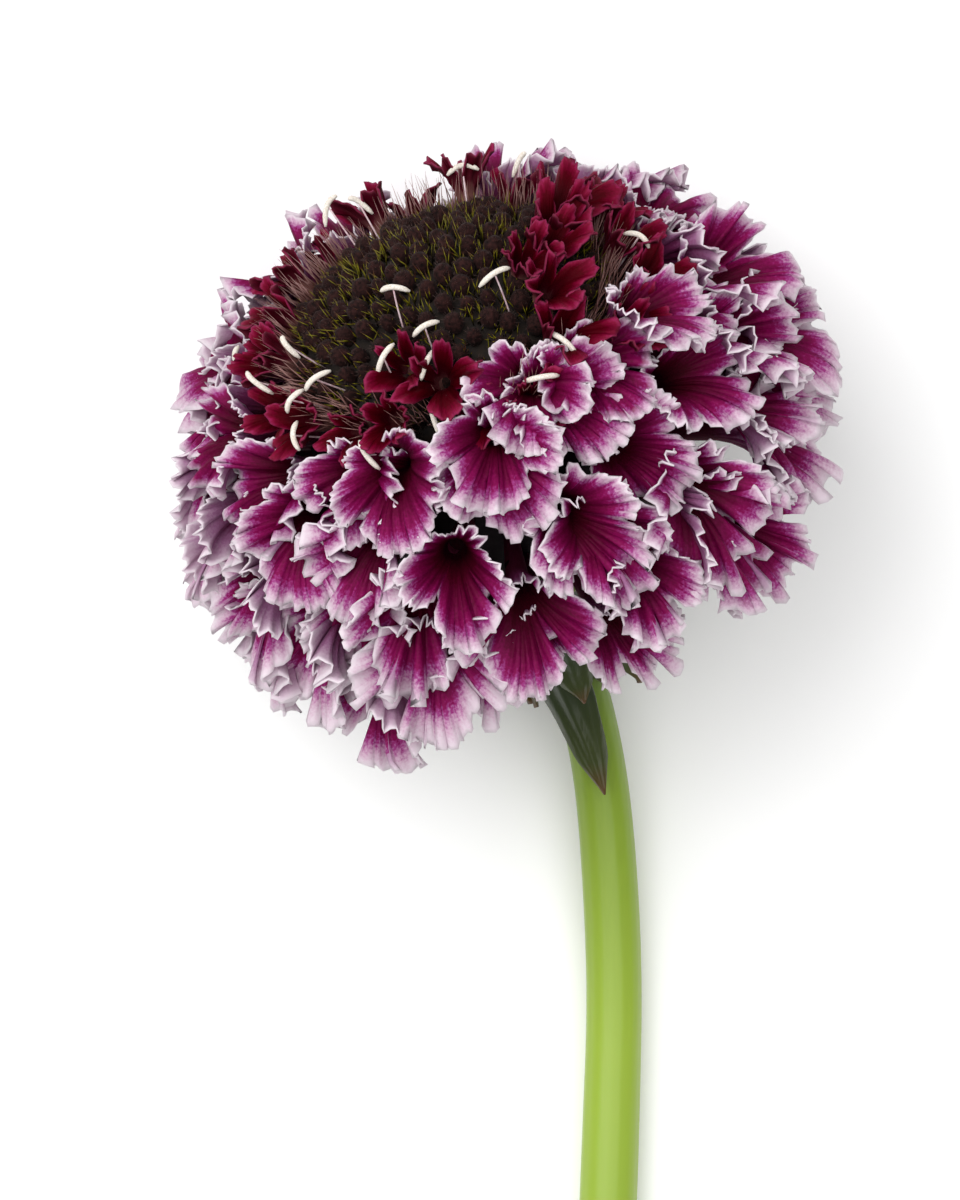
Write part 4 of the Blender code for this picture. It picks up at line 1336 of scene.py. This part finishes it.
@dataclass
class Studio:
    """A pale table, soft light from the left and the camera above."""

    frame_height: float = 115.2 * MM
    focus_height: float = 27.0 * MM
    distance: float = 0.7
    sensor: float = 36.0
    table_half: float = 1.5
    sky_strength: float = 0.4
    # A light is its name, its place, its side in metres and its power in watts.
    lights: tuple[tuple[str, Triple, float, float], ...] = (
        ("key", (-0.5, 0.35, 0.8), 0.9, 6.5), ("top", (0.1, 0.0, 1.2), 1.6, 12.0))
    # They are aimed at the middle of the head.
    aim: Triple = (0.0, 0.02, 0.02)

    def build(self) -> None:
        """Builds the floor, the lights and the camera."""
        self.build_floor()
        for light in self.lights:
            self.build_light(*light)
        world = bpy.data.worlds.new("studio")
        world.use_nodes = True
        background = world.node_tree.nodes["Background"]
        background.inputs["Color"].default_value = linear("#ffffff")
        background.inputs["Strength"].default_value = self.sky_strength
        bpy.context.scene.world = world
        # The hex colours are those of a plain photograph, so no film curve is put over them.
        bpy.context.scene.view_settings.view_transform = "Standard"
        self.build_camera()

    def build_floor(self) -> None:
        """Builds the table top."""
        half = self.table_half
        mesh = bpy.data.meshes.new("table_top")
        corners = [(x * half, y * half, 0.0) for x, y in ((-1, -1), (1, -1), (1, 1), (-1, 1))]
        mesh.from_pydata(corners, [], [(0, 1, 2, 3)])
        floor = bpy.data.objects.new("table_top", mesh)
        bpy.context.scene.collection.objects.link(floor)
        material, _, shader = new_material("white table top")
        shader.inputs["Base Color"].default_value = linear("#ffffff")
        shader.inputs["Roughness"].default_value = 0.9
        mesh.materials.append(material)

    def build_light(self, name: str, place: Triple, size: float, power: float) -> None:
        """Adds a square light aimed at the flower.

        Args:
            name: its name.
            place: where it stands.
            size: its side.
            power: its power in watts.
        """
        data = bpy.data.lights.new(name, "AREA")
        data.size = size
        data.energy = power
        light = bpy.data.objects.new(name, data)
        light.location = place
        aim = np.array(self.aim) - np.array(place)
        light.rotation_euler = (math.acos(-aim[2] / np.linalg.norm(aim)), 0.0, math.atan2(-aim[0], aim[1]))
        bpy.context.scene.collection.objects.link(light)

    def build_camera(self) -> None:
        """Adds the camera that looks straight down, framed as the photograph is."""
        data = bpy.data.cameras.new("camera")
        data.lens = self.sensor * self.distance / self.frame_height
        data.sensor_width = self.sensor
        data.clip_start = 0.01
        data.clip_end = 10.0
        camera = bpy.data.objects.new("camera", data)
        camera.location = (*PHOTO_CENTRE, self.focus_height + self.distance)
        bpy.context.scene.collection.objects.link(camera)
        bpy.context.scene.camera = camera


def main() -> None:
    """Builds every piece in order."""
    logging.basicConfig(level=logging.INFO, format="%(name)s: %(message)s")
    head = Head()
    stem = Stem(head)
    for builder in (RayFlorets(head), InnerFlorets(head), Stamens(head), Disc(head), stem,
                    Involucre(head, stem), Studio()):
        builder.build()
        LOG.info("%s done", type(builder).__name__)


if __name__ == "__main__":
    main()
